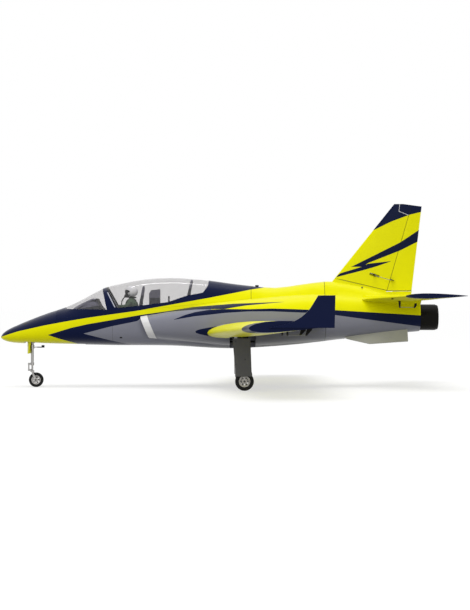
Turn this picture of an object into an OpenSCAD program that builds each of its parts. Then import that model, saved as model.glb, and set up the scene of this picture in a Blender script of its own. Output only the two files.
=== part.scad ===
// Radio-controlled ducted-fan sport jet with retractable undercarriage.
// Nose towards -X, left wing towards -Y, +Z up. Origin on the ground, at the middle of the overall box.
// One module per piece; the right-hand pieces are mirror images of the left-hand ones.

/* [Fuselage] */
// Width over the central pod
pod_w = 144; // [136:1:148]
// Width over the intake trunks
trunk_w = 222; // [218:1:226]
// Distance of the front and rear fuselage joint from the origin
seam_x = 312; // [311:1:330]
// Depth of foam left round the hatch bay at its floor
bay_floor_z = 152; // [148:1:158]
// Width of the hatch bay
bay_w = 76; // [70:1:80]
// Thickness of the hatch shell
hatch_wall = 5; // [3:0.5:7]
// Thickness of the canopy glazing
glass_t = 1.4; // [1:0.1:2]

/* [Wing] */
// Span over the wingtips
wing_span = 1400; // [1380:2:1420]
// Chord where the panel meets the fuselage
wing_root_chord = 371; // [360:1:376]
// Chord at the wingtip
wing_tip_chord = 233; // [215:1:250]
// How far the tip's leading edge lies behind the root's
wing_sweep = 125; // [110:1:140]
// Dihedral angle
wing_dihedral = 2.4; // [1:0.1:3]
// Thickness of the section as a share of the chord
wing_thickness = 0.13; // [0.125:0.001:0.14]
// Height of the winglets above the tip
winglet_h = 84; // [60:1:110]

/* [Tail] */
// Height of the fin's tip above the ground
fin_top_z = 590; // [560:1:620]
// Span of the tailplane
tail_span = 560; // [500:2:600]
// Chord of the tailplane at its root
tail_root_chord = 222; // [212:1:232]
// Chord of the tailplane at its tip
tail_tip_chord = 177; // [160:1:190]
// Thickness of the ventral fins
ventral_t = 5; // [3:0.5:8]

/* [Controls] */
// Running gap round each hinged surface
surface_gap = 0.7; // [0.5:0.1:1]
// Gap at the ends of each hinged surface
end_gap = 1.5; // [1.2:0.1:2.5]
// Span of each flap
flap_span = 240; // [200:1:250]
// Span of each aileron
aileron_span = 290; // [240:1:300]
// Length of the control horns and servo arms
horn_r = 27; // [25:0.5:29]
// Distance from a servo's shaft to the hinge that it drives
rod_l = 54; // [50:1:60]
// Diameter of the wire pushrods
rod_d = 1.8; // [1.4:0.1:2.2]

/* [Power] */
// Bore of the fan housing
fan_bore = 90.6; // [88:0.2:92]
// Gap between the blade tips and the housing
tip_gap = 0.6; // [0.4:0.1:1]
// Number of fan blades
fan_blades = 12; // [8:1:12]
// Outer diameter of the exhaust nozzle
nozzle_d = 83; // [81:0.5:83.5]
// Wall of the exhaust nozzle
nozzle_wall = 1.6; // [1.2:0.1:2.4]

/* [Landing gear] */
// Diameter of the main tyres
main_tyre_d = 58; // [54:1:60]
// Width of the main tyres
main_tyre_w = 18; // [14:0.5:18]
// Distance from the centreline to each main wheel
main_track_y = 200; // [198:1:206]
// Diameter of the nose tyre
nose_tyre_d = 47; // [43:1:48]
// Width of the nose tyre
nose_tyre_w = 15; // [12:0.5:16]
// Diameter of the main struts
main_strut_d = 10; // [8:0.5:10]
// Diameter of the nose strut's outer tube
nose_strut_d = 9.4; // [8.6:0.1:10]
// Thickness of the leg covers
cover_t = 2.4; // [2:0.2:3]
// Travel of the nose leg's sprung piston
oleo_travel = 8; // [4:0.5:8]

/* [Fittings] */
// Diameter of the wing spar tube
spar_d = 12; // [10:0.5:12]
// Length of the wing spar tube
spar_l = 640; // [560:2:660]
// Diameter of the tailplane's spar tube
tail_spar_d = 6; // [4:0.5:7]
// Length of the tailplane's spar tube
tail_spar_l = 280; // [240:2:290]

/* [Fits] */
// Radial clearance of a turning or sliding fit
running_fit = 0.05; // [0.02:0.01:0.1]
// Gap between pieces that seat against each other
seat_gap = 0.3; // [0.2:0.05:0.4]

/* [Hidden] */

deep = 400; // reaches past any piece that a cut goes through

yellow = "#e4dc14";
navy = "#1a2244";
grey = "#7d7f86";
lip_grey = "#c8c9c6";
dark = "#232323";
metal = "#b9bcc0";
ply = "#c9a36a";

// ---------------------------------------------------------------- shaping helpers

function lerp(a, b, t) = a + (b - a) * t;
function unit(v) = v / norm(v);
function power(v, p) = sign(v) * pow(abs(v), p);

// Smooth curve through column c of a table whose first column is the station
function slope(t, i, c) =
    let (a = max(i - 1, 0), b = min(i + 1, len(t) - 1)) (t[b][c] - t[a][c]) / (t[b][0] - t[a][0]);
function curve(t, x, c, i = 0) =
    i < len(t) - 2 && x > t[i + 1][0] ? curve(t, x, c, i + 1)
    : let (h = t[i + 1][0] - t[i][0], u = (x - t[i][0]) / h)
      (2 * u ^ 3 - 3 * u ^ 2 + 1) * t[i][c] + (u ^ 3 - 2 * u ^ 2 + u) * h * slope(t, i, c)
      + (3 * u ^ 2 - 2 * u ^ 3) * t[i + 1][c] + (u ^ 3 - u ^ 2) * h * slope(t, i + 1, c);

// Each station of a table and the point halfway to the next
function stations(t) =
    [for (i = [0:len(t) - 2]) each [t[i][0], (t[i][0] + t[i + 1][0]) / 2], t[len(t) - 1][0]];

// Skin a row of equal rings and close its two ends; flip turns the surface outwards
module loft(rings, flip = false) {
    n = len(rings[0]);
    m = len(rings);
    first = [for (i = [0:n - 1]) i];
    last = [for (i = [n - 1:-1:0]) (m - 1) * n + i];
    sides = [
        for (r = [0:m - 2], i = [0:n - 1])
            let (a = r * n + i, b = r * n + (i + 1) % n, c = b + n, d = a + n) each [[a, d, c], [a, c, b]]
    ];
    faces = concat([first], sides, [last]);
    polyhedron(
        [for (r = rings) each r],
        flip ? [for (f = faces) [for (i = [len(f) - 1:-1:0]) f[i]]] : faces,
        convexity = 6
    );
}

// One moulding cut from one block: the cuts inside are made together
module moulding() { resize([0, 0, 0]) children(); }

// A side view, x and z, stretched over a width about the centreline
module across(w) { translate([0, w / 2, 0]) rotate([90, 0, 0]) linear_extrude(w) children(); }

// A box from its low and high corners
module block(lo, hi) { translate(lo) cube(hi - lo); }

// Cylinders along X and Y through a point
module rod_x(p, r, l, center = false) {
    translate(p) rotate([0, 90, 0]) cylinder(h = l, r = r, center = center, $fn = 32);
}
module rod_y(p, r, l, center = false) {
    translate(p) rotate([-90, 0, 0]) cylinder(h = l, r = r, center = center, $fn = 32);
}

module left() { children(); }
module right() { mirror([0, 1, 0]) children(); }
module both() { children(); mirror([0, 1, 0]) children(); }

// ---------------------------------------------------------------- fuselage form

// Central pod with the canopy bubble: station, half width as a share of pod_w / 2,
// height of the widest line, top, bottom, fullness of the upper and of the lower half
pod = [
    [-730, 0.05, 161, 163, 159, 2.0, 2.0],
    [-722, 0.21, 162, 174, 152, 2.0, 2.0],
    [-705, 0.34, 164, 186, 146, 2.0, 2.1],
    [-675, 0.48, 167, 200, 142, 2.0, 2.2],
    [-637, 0.61, 171, 216, 141, 2.0, 2.3],
    [-579, 0.75, 177, 238, 139, 2.0, 2.4],
    [-521, 0.85, 182, 257, 138, 2.0, 2.5],
    [-462, 0.91, 187, 285, 137, 2.0, 2.5],
    [-400, 0.96, 192, 318, 136, 2.0, 2.6],
    [-353, 0.98, 196, 331, 135, 2.0, 2.6],
    [-266, 1.00, 201, 347, 135, 2.0, 2.7],
    [-182, 1.00, 206, 352, 134, 2.0, 2.8],
    [-120, 0.98, 210, 349, 131, 2.0, 2.9],
    [-56, 0.95, 214, 343, 127, 2.0, 3.0],
    [8, 0.91, 218, 334, 125, 2.1, 3.0],
    [75, 0.87, 222, 326, 127, 2.2, 3.0],
    [154, 0.82, 225, 320, 132, 2.2, 2.8],
    [234, 0.77, 226, 330, 139, 2.0, 2.6],
    [312, 0.72, 226, 340, 148, 1.9, 2.4],
    [350, 0.70, 226, 339, 153, 1.9, 2.3],
    [430, 0.66, 226, 326, 161, 1.9, 2.2],
    [517, 0.64, 225, 304, 170, 1.9, 2.1],
    [580, 0.63, 224, 297, 177, 2.0, 2.0],
    [618, 0.62, 223.5, 294, 180, 2.0, 2.0]
];

// Intake trunks, as one wide body through the pod
trunk = [
    [-275, 0.93, 196, 233, 158, 2.9, 2.9],
    [-200, 0.96, 199, 247, 151, 2.9, 2.9],
    [-100, 0.99, 203, 265, 142, 2.9, 2.9],
    [0, 1.00, 207, 281, 134, 2.8, 3.2],
    [100, 0.98, 210, 290, 134, 2.7, 3.2],
    [200, 0.90, 214, 298, 141, 2.6, 3.0],
    [312, 0.77, 218, 304, 150, 2.4, 2.7],
    [430, 0.61, 222, 297, 162, 2.2, 2.4],
    [540, 0.48, 223, 282, 173, 2.1, 2.1],
    [618, 0.42, 223.5, 268, 180, 2.0, 2.0]
];

// Shelf that carries the tailplane
shelf = [
    [396, 0.14, 288, 296, 280, 2.0, 2.0],
    [440, 0.30, 287, 300, 270, 2.4, 2.0],
    [500, 0.46, 286, 300, 262, 2.8, 2.0],
    [560, 0.54, 285, 298, 260, 3.2, 2.0],
    [618, 0.57, 285, 296, 262, 3.6, 2.0]
];

tail_end_x = pod[len(pod) - 1][0];
nose_x = pod[0][0];

// Ring of one of those bodies at station x, drawn in by inset all round
function ring(t, w, x, inset, n) = [
    for (i = [0:n - 1])
        let (
            a = 360 * i / n,
            upper = sin(a) >= 0,
            full = curve(t, x, upper ? 5 : 6),
            mid = curve(t, x, 2),
            rise = upper ? curve(t, x, 3) - mid - inset : mid - curve(t, x, 4) - inset
        )
        [x, (curve(t, x, 1) * w / 2 - inset) * power(cos(a), 2 / full), mid + rise * power(sin(a), 2 / full)]
];

module pod_form(inset = 0, x0 = nose_x, x1 = tail_end_x, n = 28) {
    loft([for (x = stations(pod)) if (x >= x0 && x <= x1) ring(pod, pod_w, x, inset, n)]);
}
module trunk_form(inset = 0, n = 28) {
    loft([for (x = stations(trunk)) ring(trunk, trunk_w, x, inset, n)]);
}
module shelf_form() {
    loft([for (x = [for (s = shelf) s[0]]) ring(shelf, trunk_w, x, 0, 16)]);
}

// Side view of the hatch: above its sill line and between its end joints
hatch_x0 = -546;
hatch_x1 = 76;
hatch_z0 = 219;
hatch_z1 = 285;
module hatch_side(gap = 0) {
    translate([0, deep / 2, 0]) rotate([90, 0, 0]) linear_extrude(deep) polygon([
        [hatch_x0 + gap, hatch_z0 + gap], [hatch_x1 - gap, hatch_z1 + gap], [hatch_x1 - gap, deep],
        [hatch_x0 + gap, deep]
    ]);
}

// ---------------------------------------------------------------- wing form

wing_root_y = 115;
winglet_t = 5;
wing_tip_y = wing_span / 2 - winglet_t - seat_gap;
wing_root_x = -62;
wing_root_z = 176;
wing_washin = 0.064; // rise of the chord line from nose to tail at the root, as a share of the chord
wing_camber = 0.012;
edge_t = 1.2; // thickness of a trailing edge
hinge_u = 0.75; // hinge line, as a share of the chord
chord_u = [0, 0.004, 0.015, 0.04, 0.08, 0.15, 0.25, 0.36, 0.48, 0.6, hinge_u, 0.88, 1];

// Half thickness of a plain airfoil section at share u of chord c
function half_t(u, c, t) =
    5 * t * c * (0.2969 * sqrt(u) - 0.126 * u - 0.3516 * u ^ 2 + 0.2843 * u ^ 3 - 0.1036 * u ^ 4)
    + edge_t / 2 * u;

// A flying surface is [root station, tip station, root edge x, tip edge x, root chord, tip chord,
// root z, tip z, rise at root, rise at tip, thickness, camber]
function along(s, y) = (y - s[0]) / (s[1] - s[0]);
function edge_x(s, y) = lerp(s[2], s[3], along(s, y));
function chord(s, y) = lerp(s[4], s[5], along(s, y));
function mid_z(s, y, u) =
    lerp(s[6], s[7], along(s, y)) + lerp(s[8], s[9], along(s, y)) * u + s[11] * chord(s, y) * 4 * u * (1 - u);
function skin_r(s, y, u) = half_t(u, chord(s, y), s[10]);

wing = [
    wing_root_y, wing_tip_y, wing_root_x, wing_root_x + wing_sweep, wing_root_chord, wing_tip_chord,
    wing_root_z, wing_root_z + (wing_tip_y - wing_root_y) * tan(wing_dihedral),
    wing_washin * wing_root_chord, 0.035 * wing_tip_chord, wing_thickness, wing_camber
];

// Section of surface s at station y, left-hand side
function section(s, y) = concat(
    [for (u = chord_u) [edge_x(s, y) + u * chord(s, y), -y, mid_z(s, y, u) + skin_r(s, y, u)]],
    [for (i = [len(chord_u) - 1:-1:1]) let (u = chord_u[i])
        [edge_x(s, y) + u * chord(s, y), -y, mid_z(s, y, u) - skin_r(s, y, u)]]
);
module panel(s, y0, y1) { loft([section(s, y0), section(s, y1)], flip = true); }

// Hinged part of surface s between stations y0 and y1; hinge line h = [root x, tip x] at the surface's ends
function hinge_x(s, h, y) = lerp(h[0], h[1], along(s, y));
function hinge_share(s, h, y) = (hinge_x(s, h, y) - edge_x(s, y)) / chord(s, y);
function hinge_r(s, h, y) = skin_r(s, y, hinge_share(s, h, y));
function hinge_point(s, h, y) = [hinge_x(s, h, y), -y, mid_z(s, y, hinge_share(s, h, y))];
function aft_u(s, h, y) = [for (k = [0, 0.35, 0.7, 1]) lerp(hinge_share(s, h, y), 1, k)];
function surface_rib(s, h, y) =
    let (p = hinge_point(s, h, y), r = hinge_r(s, h, y), us = aft_u(s, h, y))
    concat(
        [for (u = us) [edge_x(s, y) + u * chord(s, y), -y, mid_z(s, y, u) + skin_r(s, y, u)]],
        [for (i = [len(us) - 1:-1:0]) let (u = us[i])
            [edge_x(s, y) + u * chord(s, y), -y, mid_z(s, y, u) - skin_r(s, y, u)]],
        [for (a = [252:-18:108]) p + r * [cos(a), 0, sin(a)]]
    );
module hinged_panel(s, h, y0, y1) { loft([surface_rib(s, h, y0), surface_rib(s, h, y1)], flip = true); }

// Space that the hinged part needs: a round cove and everything behind it
function cove_rib(s, h, y) =
    let (p = hinge_point(s, h, y), r = hinge_r(s, h, y) + surface_gap)
    [for (a = [0:-20:-340]) p + r * [cos(a), 0, sin(a)]];
function behind_rib(s, h, y) =
    let (p = hinge_point(s, h, y), x0 = p.x - 0.35 * hinge_r(s, h, y), x1 = edge_x(s, y) + chord(s, y) + 10)
    [[x0, -y, p.z + 60], [x1, -y, p.z + 60], [x1, -y, p.z - 60], [x0, -y, p.z - 60]];
module cove(s, h, y0, y1) {
    loft([cove_rib(s, h, y0), cove_rib(s, h, y1)], flip = true);
    loft([behind_rib(s, h, y0), behind_rib(s, h, y1)], flip = true);
}

wing_hinge = [wing_root_x + hinge_u * wing_root_chord, wing_root_x + wing_sweep + hinge_u * wing_tip_chord];
flap_y0 = wing_root_y + 4;
flap_y1 = flap_y0 + flap_span;
aileron_y0 = flap_y1 + 2 * end_gap + 6;
aileron_y1 = aileron_y0 + aileron_span;

// ---------------------------------------------------------------- tail form

tail_root_y = 64;
tail_tip_y = tail_span / 2;
tail_root_x = 440;
tail_tip_x = 552.6;
tail_root_z = 283;
tail = [
    tail_root_y, tail_tip_y, tail_root_x, tail_tip_x, tail_root_chord, tail_tip_chord,
    tail_root_z, tail_root_z + 9, 0, 0, 0.085, 0
];
tail_hinge = [582, 676];
elevator_y0 = tail_root_y + 4;

// The fin is laid out like a wing whose stations are heights, then stood upright
fin_foot_z = 300;
fin_line = [348.9, 354, 536, 587.3]; // leading edge: x and z at its foot and near its tip
fin_back = [594.1, 309.5, 626.7, 582.5]; // trailing edge, the same way
function line_x(l, z) = lerp(l[0], l[2], (z - l[1]) / (l[3] - l[1]));
fin_form = [
    fin_foot_z, fin_top_z, line_x(fin_line, fin_foot_z), line_x(fin_line, fin_top_z),
    line_x(fin_back, fin_foot_z) - line_x(fin_line, fin_foot_z),
    line_x(fin_back, fin_top_z) - line_x(fin_line, fin_top_z), 0, 0, 0, 0, 0.075, 0
];
rudder_line = [515.7, 313, 587.6, 555.6];
rudder_hinge = [line_x(rudder_line, fin_foot_z), line_x(rudder_line, fin_top_z)];
// Side view of the horn balance at the rudder's top, and of the tip, whose top edge falls to the rear
balance_h = 36;
balance_l = 33; // reach ahead of the hinge line
balance_rise = 13; // the underside climbs towards the nose
balance_z = fin_top_z - balance_h;
balance_x = line_x(rudder_line, balance_z);
tip_flat = 28; // length of the top edge ahead of the fall
tip_fall = 0.13;
module balance_side(gap = 0) {
    nose = balance_x - balance_l;
    across(60) offset(delta = gap) polygon([
        [nose + 9, balance_z + 86], [nose, balance_z + balance_rise], [balance_x, balance_z],
        [balance_x + 140, balance_z], [balance_x + 140, balance_z + 86]
    ]);
}
module under_tip() {
    x = line_x(fin_line, fin_top_z) + tip_flat;
    across(60) polygon([
        [x - 250, 0], [x + 150, 0], [x + 150, fin_top_z - 150 * tip_fall], [x, fin_top_z], [x - 250, fin_top_z + 1]
    ]);
}
rudder_foot_z = 309;
stub_z = rudder_foot_z - 3; // top of the spine under the rudder
module upright() { multmatrix([[1, 0, 0, 0], [0, 0, 1, 0], [0, -1, 0, 0], [0, 0, 0, 1]]) children(); }

// Line on which the fin stands on the spine: x and z at both ends
foot_line = [365.7, 345, 517.3, 309.5];
module above_foot(gap) {
    rise = (foot_line[3] - foot_line[1]) / (foot_line[2] - foot_line[0]);
    z0 = foot_line[1] + (200 - foot_line[0]) * rise + gap;
    z1 = foot_line[3];
    across(deep) polygon([[200, z0], [foot_line[2], z1 + gap], [800, z1 + gap], [800, 900], [200, 900]]);
}

// ---------------------------------------------------------------- linkages

// A linkage frame is [origin on the hinge, aft, along the hinge, up]
function frame_of(p, v) = let (a = unit([1, 0, 0] - v.x * v)) [p, a, v, cross(a, v)];
function surface_frame(s, h, y) =
    frame_of(hinge_point(s, h, y), unit(hinge_point(s, h, s[0]) - hinge_point(s, h, s[1])));
aileron_frame = surface_frame(wing, wing_hinge, aileron_y0 + 110);
flap_frame = surface_frame(wing, wing_hinge, flap_y0 + 150);
elevator_frame = surface_frame(tail, tail_hinge, elevator_y0 + 20);
rudder_z = 346;
rudder_axis = unit([rudder_line[0] - rudder_line[2], 0, rudder_line[1] - rudder_line[3]]);
rudder_frame = frame_of([line_x(rudder_line, rudder_z), 0, rudder_z], rudder_axis);

module on(f) {
    multmatrix([
        [f[1].x, f[2].x, f[3].x, f[0].x], [f[1].y, f[2].y, f[3].y, f[0].y],
        [f[1].z, f[2].z, f[3].z, f[0].z], [0, 0, 0, 1]
    ]) children();
}

plate_t = 2;
pin_d = 1.6;
wire_v = plate_t / 2 + 0.5 + rod_d / 2; // the wire runs beside the arm and the horn
shaft_r = 2.4;
servo_l = 23;
servo_w = 12;
servo_h = 24;
servo_v = 3;

// Flat lever in the plane of the linkage from [0, 0] to its eye at horn_r below
module lever(boss_r) {
    rotate([90, 0, 0]) translate([0, 0, -plate_t / 2]) linear_extrude(plate_t) difference() {
        union() {
            circle(r = boss_r, $fn = 32);
            translate([0, -horn_r]) circle(r = 2.6, $fn = 32);
            polygon([[-boss_r, 0], [-2.6, -horn_r], [2.6, -horn_r], [boss_r, 0]]);
        }
        translate([0, -horn_r]) circle(r = pin_d / 2 + running_fit, $fn = 32);
    }
}
module servo_arm() {
    translate([-rod_l, 0, 0]) difference() {
        lever(4.2);
        rotate([90, 0, 0]) cylinder(h = 10, r = shaft_r + running_fit, center = true, $fn = 32);
    }
}
// Control horn: its foot is in the surface's skin, its eye hangs under the hinge
module horn(r) {
    rotate([90, 0, 0]) translate([0, 0, -plate_t / 2]) linear_extrude(plate_t) difference() {
        union() {
            translate([0, -horn_r]) circle(r = 2.6, $fn = 32);
            polygon([[3, 2 - r], [18, 3 - r], [17, -r - 2], [2.3, -horn_r - 1.2], [-2.6, -horn_r]]);
        }
        translate([0, -horn_r]) circle(r = pin_d / 2 + running_fit, $fn = 32);
    }
}
// Slot in the wing's skin ahead of a horn that swings forward
module horn_slot() { translate([-16, -plate_t, -40]) cube([20, 2 * plate_t, 36]); }
// Wire with a pin bent in at each end
module pushrod() {
    translate([-rod_l, wire_v, -horn_r]) rotate([0, 90, 0]) cylinder(h = rod_l, r = rod_d / 2, $fn = 24);
    for (u = [-rod_l, 0]) {
        translate([u, wire_v, -horn_r]) sphere(r = rod_d / 2, $fn = 24);
        translate([u, wire_v, -horn_r]) rotate([90, 0, 0])
            cylinder(h = wire_v + plate_t / 2 + 0.8, r = pin_d / 2, $fn = 24);
    }
}
module servo() {
    translate([-rod_l - servo_l + 6, -servo_v - servo_h, -servo_w / 2]) cube([servo_l, servo_h, servo_w]);
    translate([-rod_l - servo_l + 1, -servo_v - 9, -servo_w / 2]) cube([servo_l + 10, 2, servo_w]);
    translate([-rod_l, -servo_v - 1, 0]) rotate([-90, 0, 0])
        cylinder(h = servo_v + 1 + plate_t / 2, r = shaft_r, $fn = 32);
}
// Pocket for the servo, open below or at the back, and slot in which its arm swings, open below
module servo_pocket(depth, swing, from_back = false) {
    g = seat_gap;
    h = depth + servo_w / 2 + g;
    z0 = from_back ? -servo_w / 2 - g : -depth;
    translate([-rod_l - servo_l + 6 - g, -servo_v - servo_h - g, z0])
        cube([servo_l + 2 * g, servo_h + 2 * g, h]);
    translate([-rod_l - servo_l + 1 - g, -servo_v - 9 - g, z0])
        cube([servo_l + 10 + 2 * g, 2 + 2 * g, h]);
    translate([-rod_l - swing, -servo_v - g, -depth]) cube([2 * swing, servo_v + 5.5, depth + servo_w / 2 + g]);
}

// ---------------------------------------------------------------- airframe

spar_x = 100;
spar_z = 189.5;
carrier_w = 15;
tail_spar_x = 512;
tail_spar_z = 284;

module spar_bore() { rod_y([spar_x, 0, spar_z], spar_d / 2 + running_fit, deep * 3, true); }
module tail_spar_bore() { rod_y([tail_spar_x, 0, tail_spar_z], tail_spar_d / 2 + running_fit, deep * 2, true); }

// Ducts from the intakes to the fan: station, middle from the centreline, height, half width, half height
fan_x = 240;
fan_z = 225;
housing_wall = 2;
duct = [
    [-300, 86.5, 196, 12.5, 30],
    [-180, 87, 201, 15, 33],
    [-60, 82, 219, 20, 31],
    [60, 66, 237, 26, 33],
    [130, 44, 238, 32, 36],
    [200, 14, 230, 40, 43],
    [fan_x, 0, fan_z, fan_bore / 2, fan_bore / 2]
];
duct_wall = 3; // foam left outside the ducts
module duct_form() {
    loft([
        for (s = duct) [for (i = [0:19]) let (a = 360 * i / 20)
            [s[0], -s[1] + s[3] * power(cos(a), 0.8), s[2] + s[4] * power(sin(a), 0.8)]]
    ]);
}
module ducts() {
    both() intersection() {
        duct_form();
        trunk_form(duct_wall);
    }
}

housing_l = 62;
pipe_x = fan_x + housing_l;
pipe_wall = 1.6;
pipe_start_r = fan_bore / 2;
nozzle_l = 58;
nozzle_z = 223.5;

// Round tunnel for the fan housing and the exhaust pipe
module fan_tunnel() {
    rod_x([fan_x - 1, 0, fan_z], fan_bore / 2 + housing_wall + seat_gap, housing_l + 1 + seat_gap);
    translate([pipe_x, 0, fan_z]) rotate([0, 90, 0])
        cylinder(h = tail_end_x - pipe_x + 1, r1 = pipe_start_r + pipe_wall + seat_gap, r2 = nozzle_d / 2 - 1, $fn = 48);
}

// Wells in the belly for the wheels, and their places
main_x = 54;
main_well_x0 = 8;
main_well_x1 = 90;
main_well_top = 191;
main_well_y1 = 17; // from the centreline to the well's inner end
module main_well() {
    block([main_well_x0, -main_track_y - 14, 0], [main_well_x1, -main_well_y1, main_well_top]);
}
nose_leg_x = -629;
nose_pivot_z = 165;
nose_well_w = 52;
nose_well_x1 = -455;
nose_well_top = 207; // over the wheel
nose_well_low_top = 186; // over the door, where the nose is shallow
nose_housing_top = 205;
module nose_well() {
    w = nose_well_w / 2;
    block([nose_leg_x - 23, -w, 0], [nose_well_x1, w, nose_well_low_top]);
    block([nose_leg_x + 25, -w, 0], [nose_well_x1, w, nose_well_top]);
    // pocket for the retract housing
    block(
        [nose_leg_x - 9 - seat_gap, -nose_ear_y - nose_ear_t - seat_gap, 0],
        [nose_leg_x + 12 + seat_gap, nose_ear_y + nose_ear_t + seat_gap, nose_housing_top]
    );
}

module hatch_bay() {
    across(bay_w) polygon([
        [hatch_x0 + 14, 214], [bay_x0, 214], [bay_x0, bay_floor_z], [bay_x1, bay_floor_z], [bay_x1, 300],
        [hatch_x1 - 12, 300], [hatch_x1 - 12, 345], [hatch_x0 + 14, 345]
    ]);
}

// Everything that makes the outside of the fuselage, with the saddles that the wing and tail seat on
module body_blank() {
    pod_form();
    trunk_form();
    shelf_form();
    both() panel(wing, 40, wing_root_y);
    both() panel(tail, 20, tail_root_y);
    intersection() {
        upright() panel(fin_form, fin_foot_z - 30, fin_top_z);
        difference() {
            block([200, -40, 250], [700, 40, 400]);
            above_foot(0);
        }
    }
}

module body_cuts() {
    ducts();
    fan_tunnel();
    spar_bore();
    tail_spar_bore();
    both() main_well();
    nose_well();
    hatch_bay();
    hatch_side();
    intake_face();
    block([spar_x - carrier_w / 2 - seat_gap, -wing_root_y - 1, spar_z - carrier_w / 2 - seat_gap],
        [spar_x + carrier_w / 2 + seat_gap, wing_root_y + 1, spar_z + carrier_w / 2 + seat_gap]);
    latch_slot();
}

// Each trunk starts at a raked face, which carries the lip; the pod runs on ahead between them
face_x = -241; // where the face crosses face_z
face_z = 200;
face_lean = 0.41;
lip_l = 24;
module ahead_of(x) {
    for (side = [0, 1]) mirror([0, side, 0]) translate([0, -20, 0]) rotate([90, 0, 0]) linear_extrude(120)
        polygon([
            [x - 90, face_z - 100], [x + 100 * face_lean, face_z - 100],
            [x - 90 * face_lean, face_z + 90], [x - 90, face_z + 90]
        ]);
}
module intake_face() {
    difference() {
        ahead_of(face_x);
        pod_form();
    }
}

module fuselage_front() {
    color(grey) moulding() difference() {
        intersection() {
            body_blank();
            block([-deep * 2, -deep, 0], [seam_x - seat_gap / 2, deep, 700]);
        }
        body_cuts();
    }
}

module fuselage_rear() {
    color(yellow) moulding() difference() {
        intersection() {
            body_blank();
            block([seam_x + seat_gap / 2, -deep, 0], [tail_end_x, deep, 700]);
        }
        fan_tunnel();
        tail_spar_bore();
        upright() cove(fin_form, rudder_hinge, stub_z, stub_z + 30);
        on(rudder_frame) servo_pocket(40, 16, true);
    }
}

// Light-coloured lip round each intake's mouth
module intake_lips() {
    color(lip_grey) moulding() difference() {
        intersection() {
            trunk_form();
            ahead_of(face_x - seat_gap);
        }
        ahead_of(face_x - lip_l);
        ducts();
        pod_form(-seat_gap);
    }
}

module wing_carrier() {
    w = carrier_w / 2;
    color(ply) difference() {
        block([spar_x - w, -wing_root_y + seat_gap, spar_z - w], [spar_x + w, wing_root_y - seat_gap, spar_z + w]);
        rod_y([spar_x, 0, spar_z], spar_d / 2 + running_fit, deep, true);
    }
}

module tube_y(p, d, l) {
    difference() {
        rod_y(p, d / 2, l, true);
        rod_y(p, d / 2 - 1, l + 1, true);
    }
}
module spar_tubes() {
    color(dark) tube_y([spar_x, 0, spar_z], spar_d, spar_l);
    color(dark) tube_y([tail_spar_x, 0, tail_spar_z], tail_spar_d, tail_spar_l);
}

// Winglet: a thin fin on the tip, its nose curving up out of the tip's edge
winglet_x0 = 118;
winglet_x1 = 298;
module winglet() {
    z0 = mid_z(wing, wing_tip_y, 0.6) - 6;
    translate([0, -wing_tip_y - seat_gap, z0]) rotate([90, 0, 0]) linear_extrude(winglet_t)
        polygon([
            [winglet_x0, 0], [winglet_x0 + 60, 11], [winglet_x0 + 90, 26], [winglet_x0 + 118, 50],
            [winglet_x0 + 141, winglet_h], [winglet_x1, winglet_h], [winglet_x1 - 2, 0]
        ]);
}

module wing_left() {
    difference() {
        panel(wing, wing_root_y + seat_gap, wing_tip_y);
        cove(wing, wing_hinge, flap_y0, flap_y1);
        cove(wing, wing_hinge, aileron_y0, aileron_y1);
        rod_y([spar_x, -wing_root_y - deep / 2, spar_z], spar_d / 2 + running_fit, deep + 30, true);
        main_well();
        retract_pocket();
        on(flap_frame) servo_pocket(40, 21);
        on(flap_frame) horn_slot();
        on(aileron_frame) servo_pocket(40, 16);
    }
    winglet();
}
module left_wing() { color(yellow) left() wing_left(); }
module right_wing() { color(yellow) right() wing_left(); }

module fin() {
    color(yellow) difference() {
        intersection() {
            upright() panel(fin_form, fin_foot_z - 30, fin_top_z);
            above_foot(seat_gap);
            under_tip();
        }
        upright() cove(fin_form, rudder_hinge, 280, balance_z + 2.5);
        balance_side(end_gap);
        on(rudder_frame) servo_pocket(40, 16, true);
    }
}

module stabiliser_left() {
    difference() {
        panel(tail, tail_root_y + seat_gap, tail_tip_y);
        cove(tail, tail_hinge, elevator_y0, tail_tip_y + 20);
        tail_spar_bore();
        on(elevator_frame) servo_pocket(30, 11);
    }
}
module left_stabiliser() { color(yellow) left() stabiliser_left(); }
module right_stabiliser() { color(yellow) right() stabiliser_left(); }

module ventral_fins() {
    color(grey) moulding() both() difference() {
        translate([0, -34, 178]) rotate([-24, 0, 0]) translate([0, ventral_t / 2, -178])
            rotate([90, 0, 0]) linear_extrude(ventral_t)
            polygon([[360, 172], [372, 196], [577, 205], [577, 146], [454, 137], [388, 153]]);
        pod_form(-seat_gap);
        trunk_form(-seat_gap);
    }
}

// ---------------------------------------------------------------- inside

blade_r = fan_bore / 2 - tip_gap;
hub_r = 17;
motor_r = 16;
module fan_housing() {
    color(dark) {
        difference() {
            rod_x([fan_x, 0, fan_z], fan_bore / 2 + housing_wall, housing_l);
            rod_x([fan_x - 1, 0, fan_z], fan_bore / 2, housing_l + 2);
        }
        difference() {
            union() {
                rod_x([fan_x + 30, 0, fan_z], motor_r + 3, housing_l - 32);
                for (i = [0:4]) translate([fan_x + 34, 0, fan_z]) rotate([90 + 72 * i, 0, 0])
                    translate([0, -1, motor_r]) cube([22, 2, fan_bore / 2 - motor_r + 0.5]);
            }
            rod_x([fan_x + 33, 0, fan_z], motor_r + running_fit, housing_l);
            rod_x([fan_x + 20, 0, fan_z], 4, 30);
        }
        // motor
        rod_x([fan_x + 33, 0, fan_z], motor_r, 48);
        rod_x([fan_x + 8, 0, fan_z], 2.5, 30);
    }
}
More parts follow.
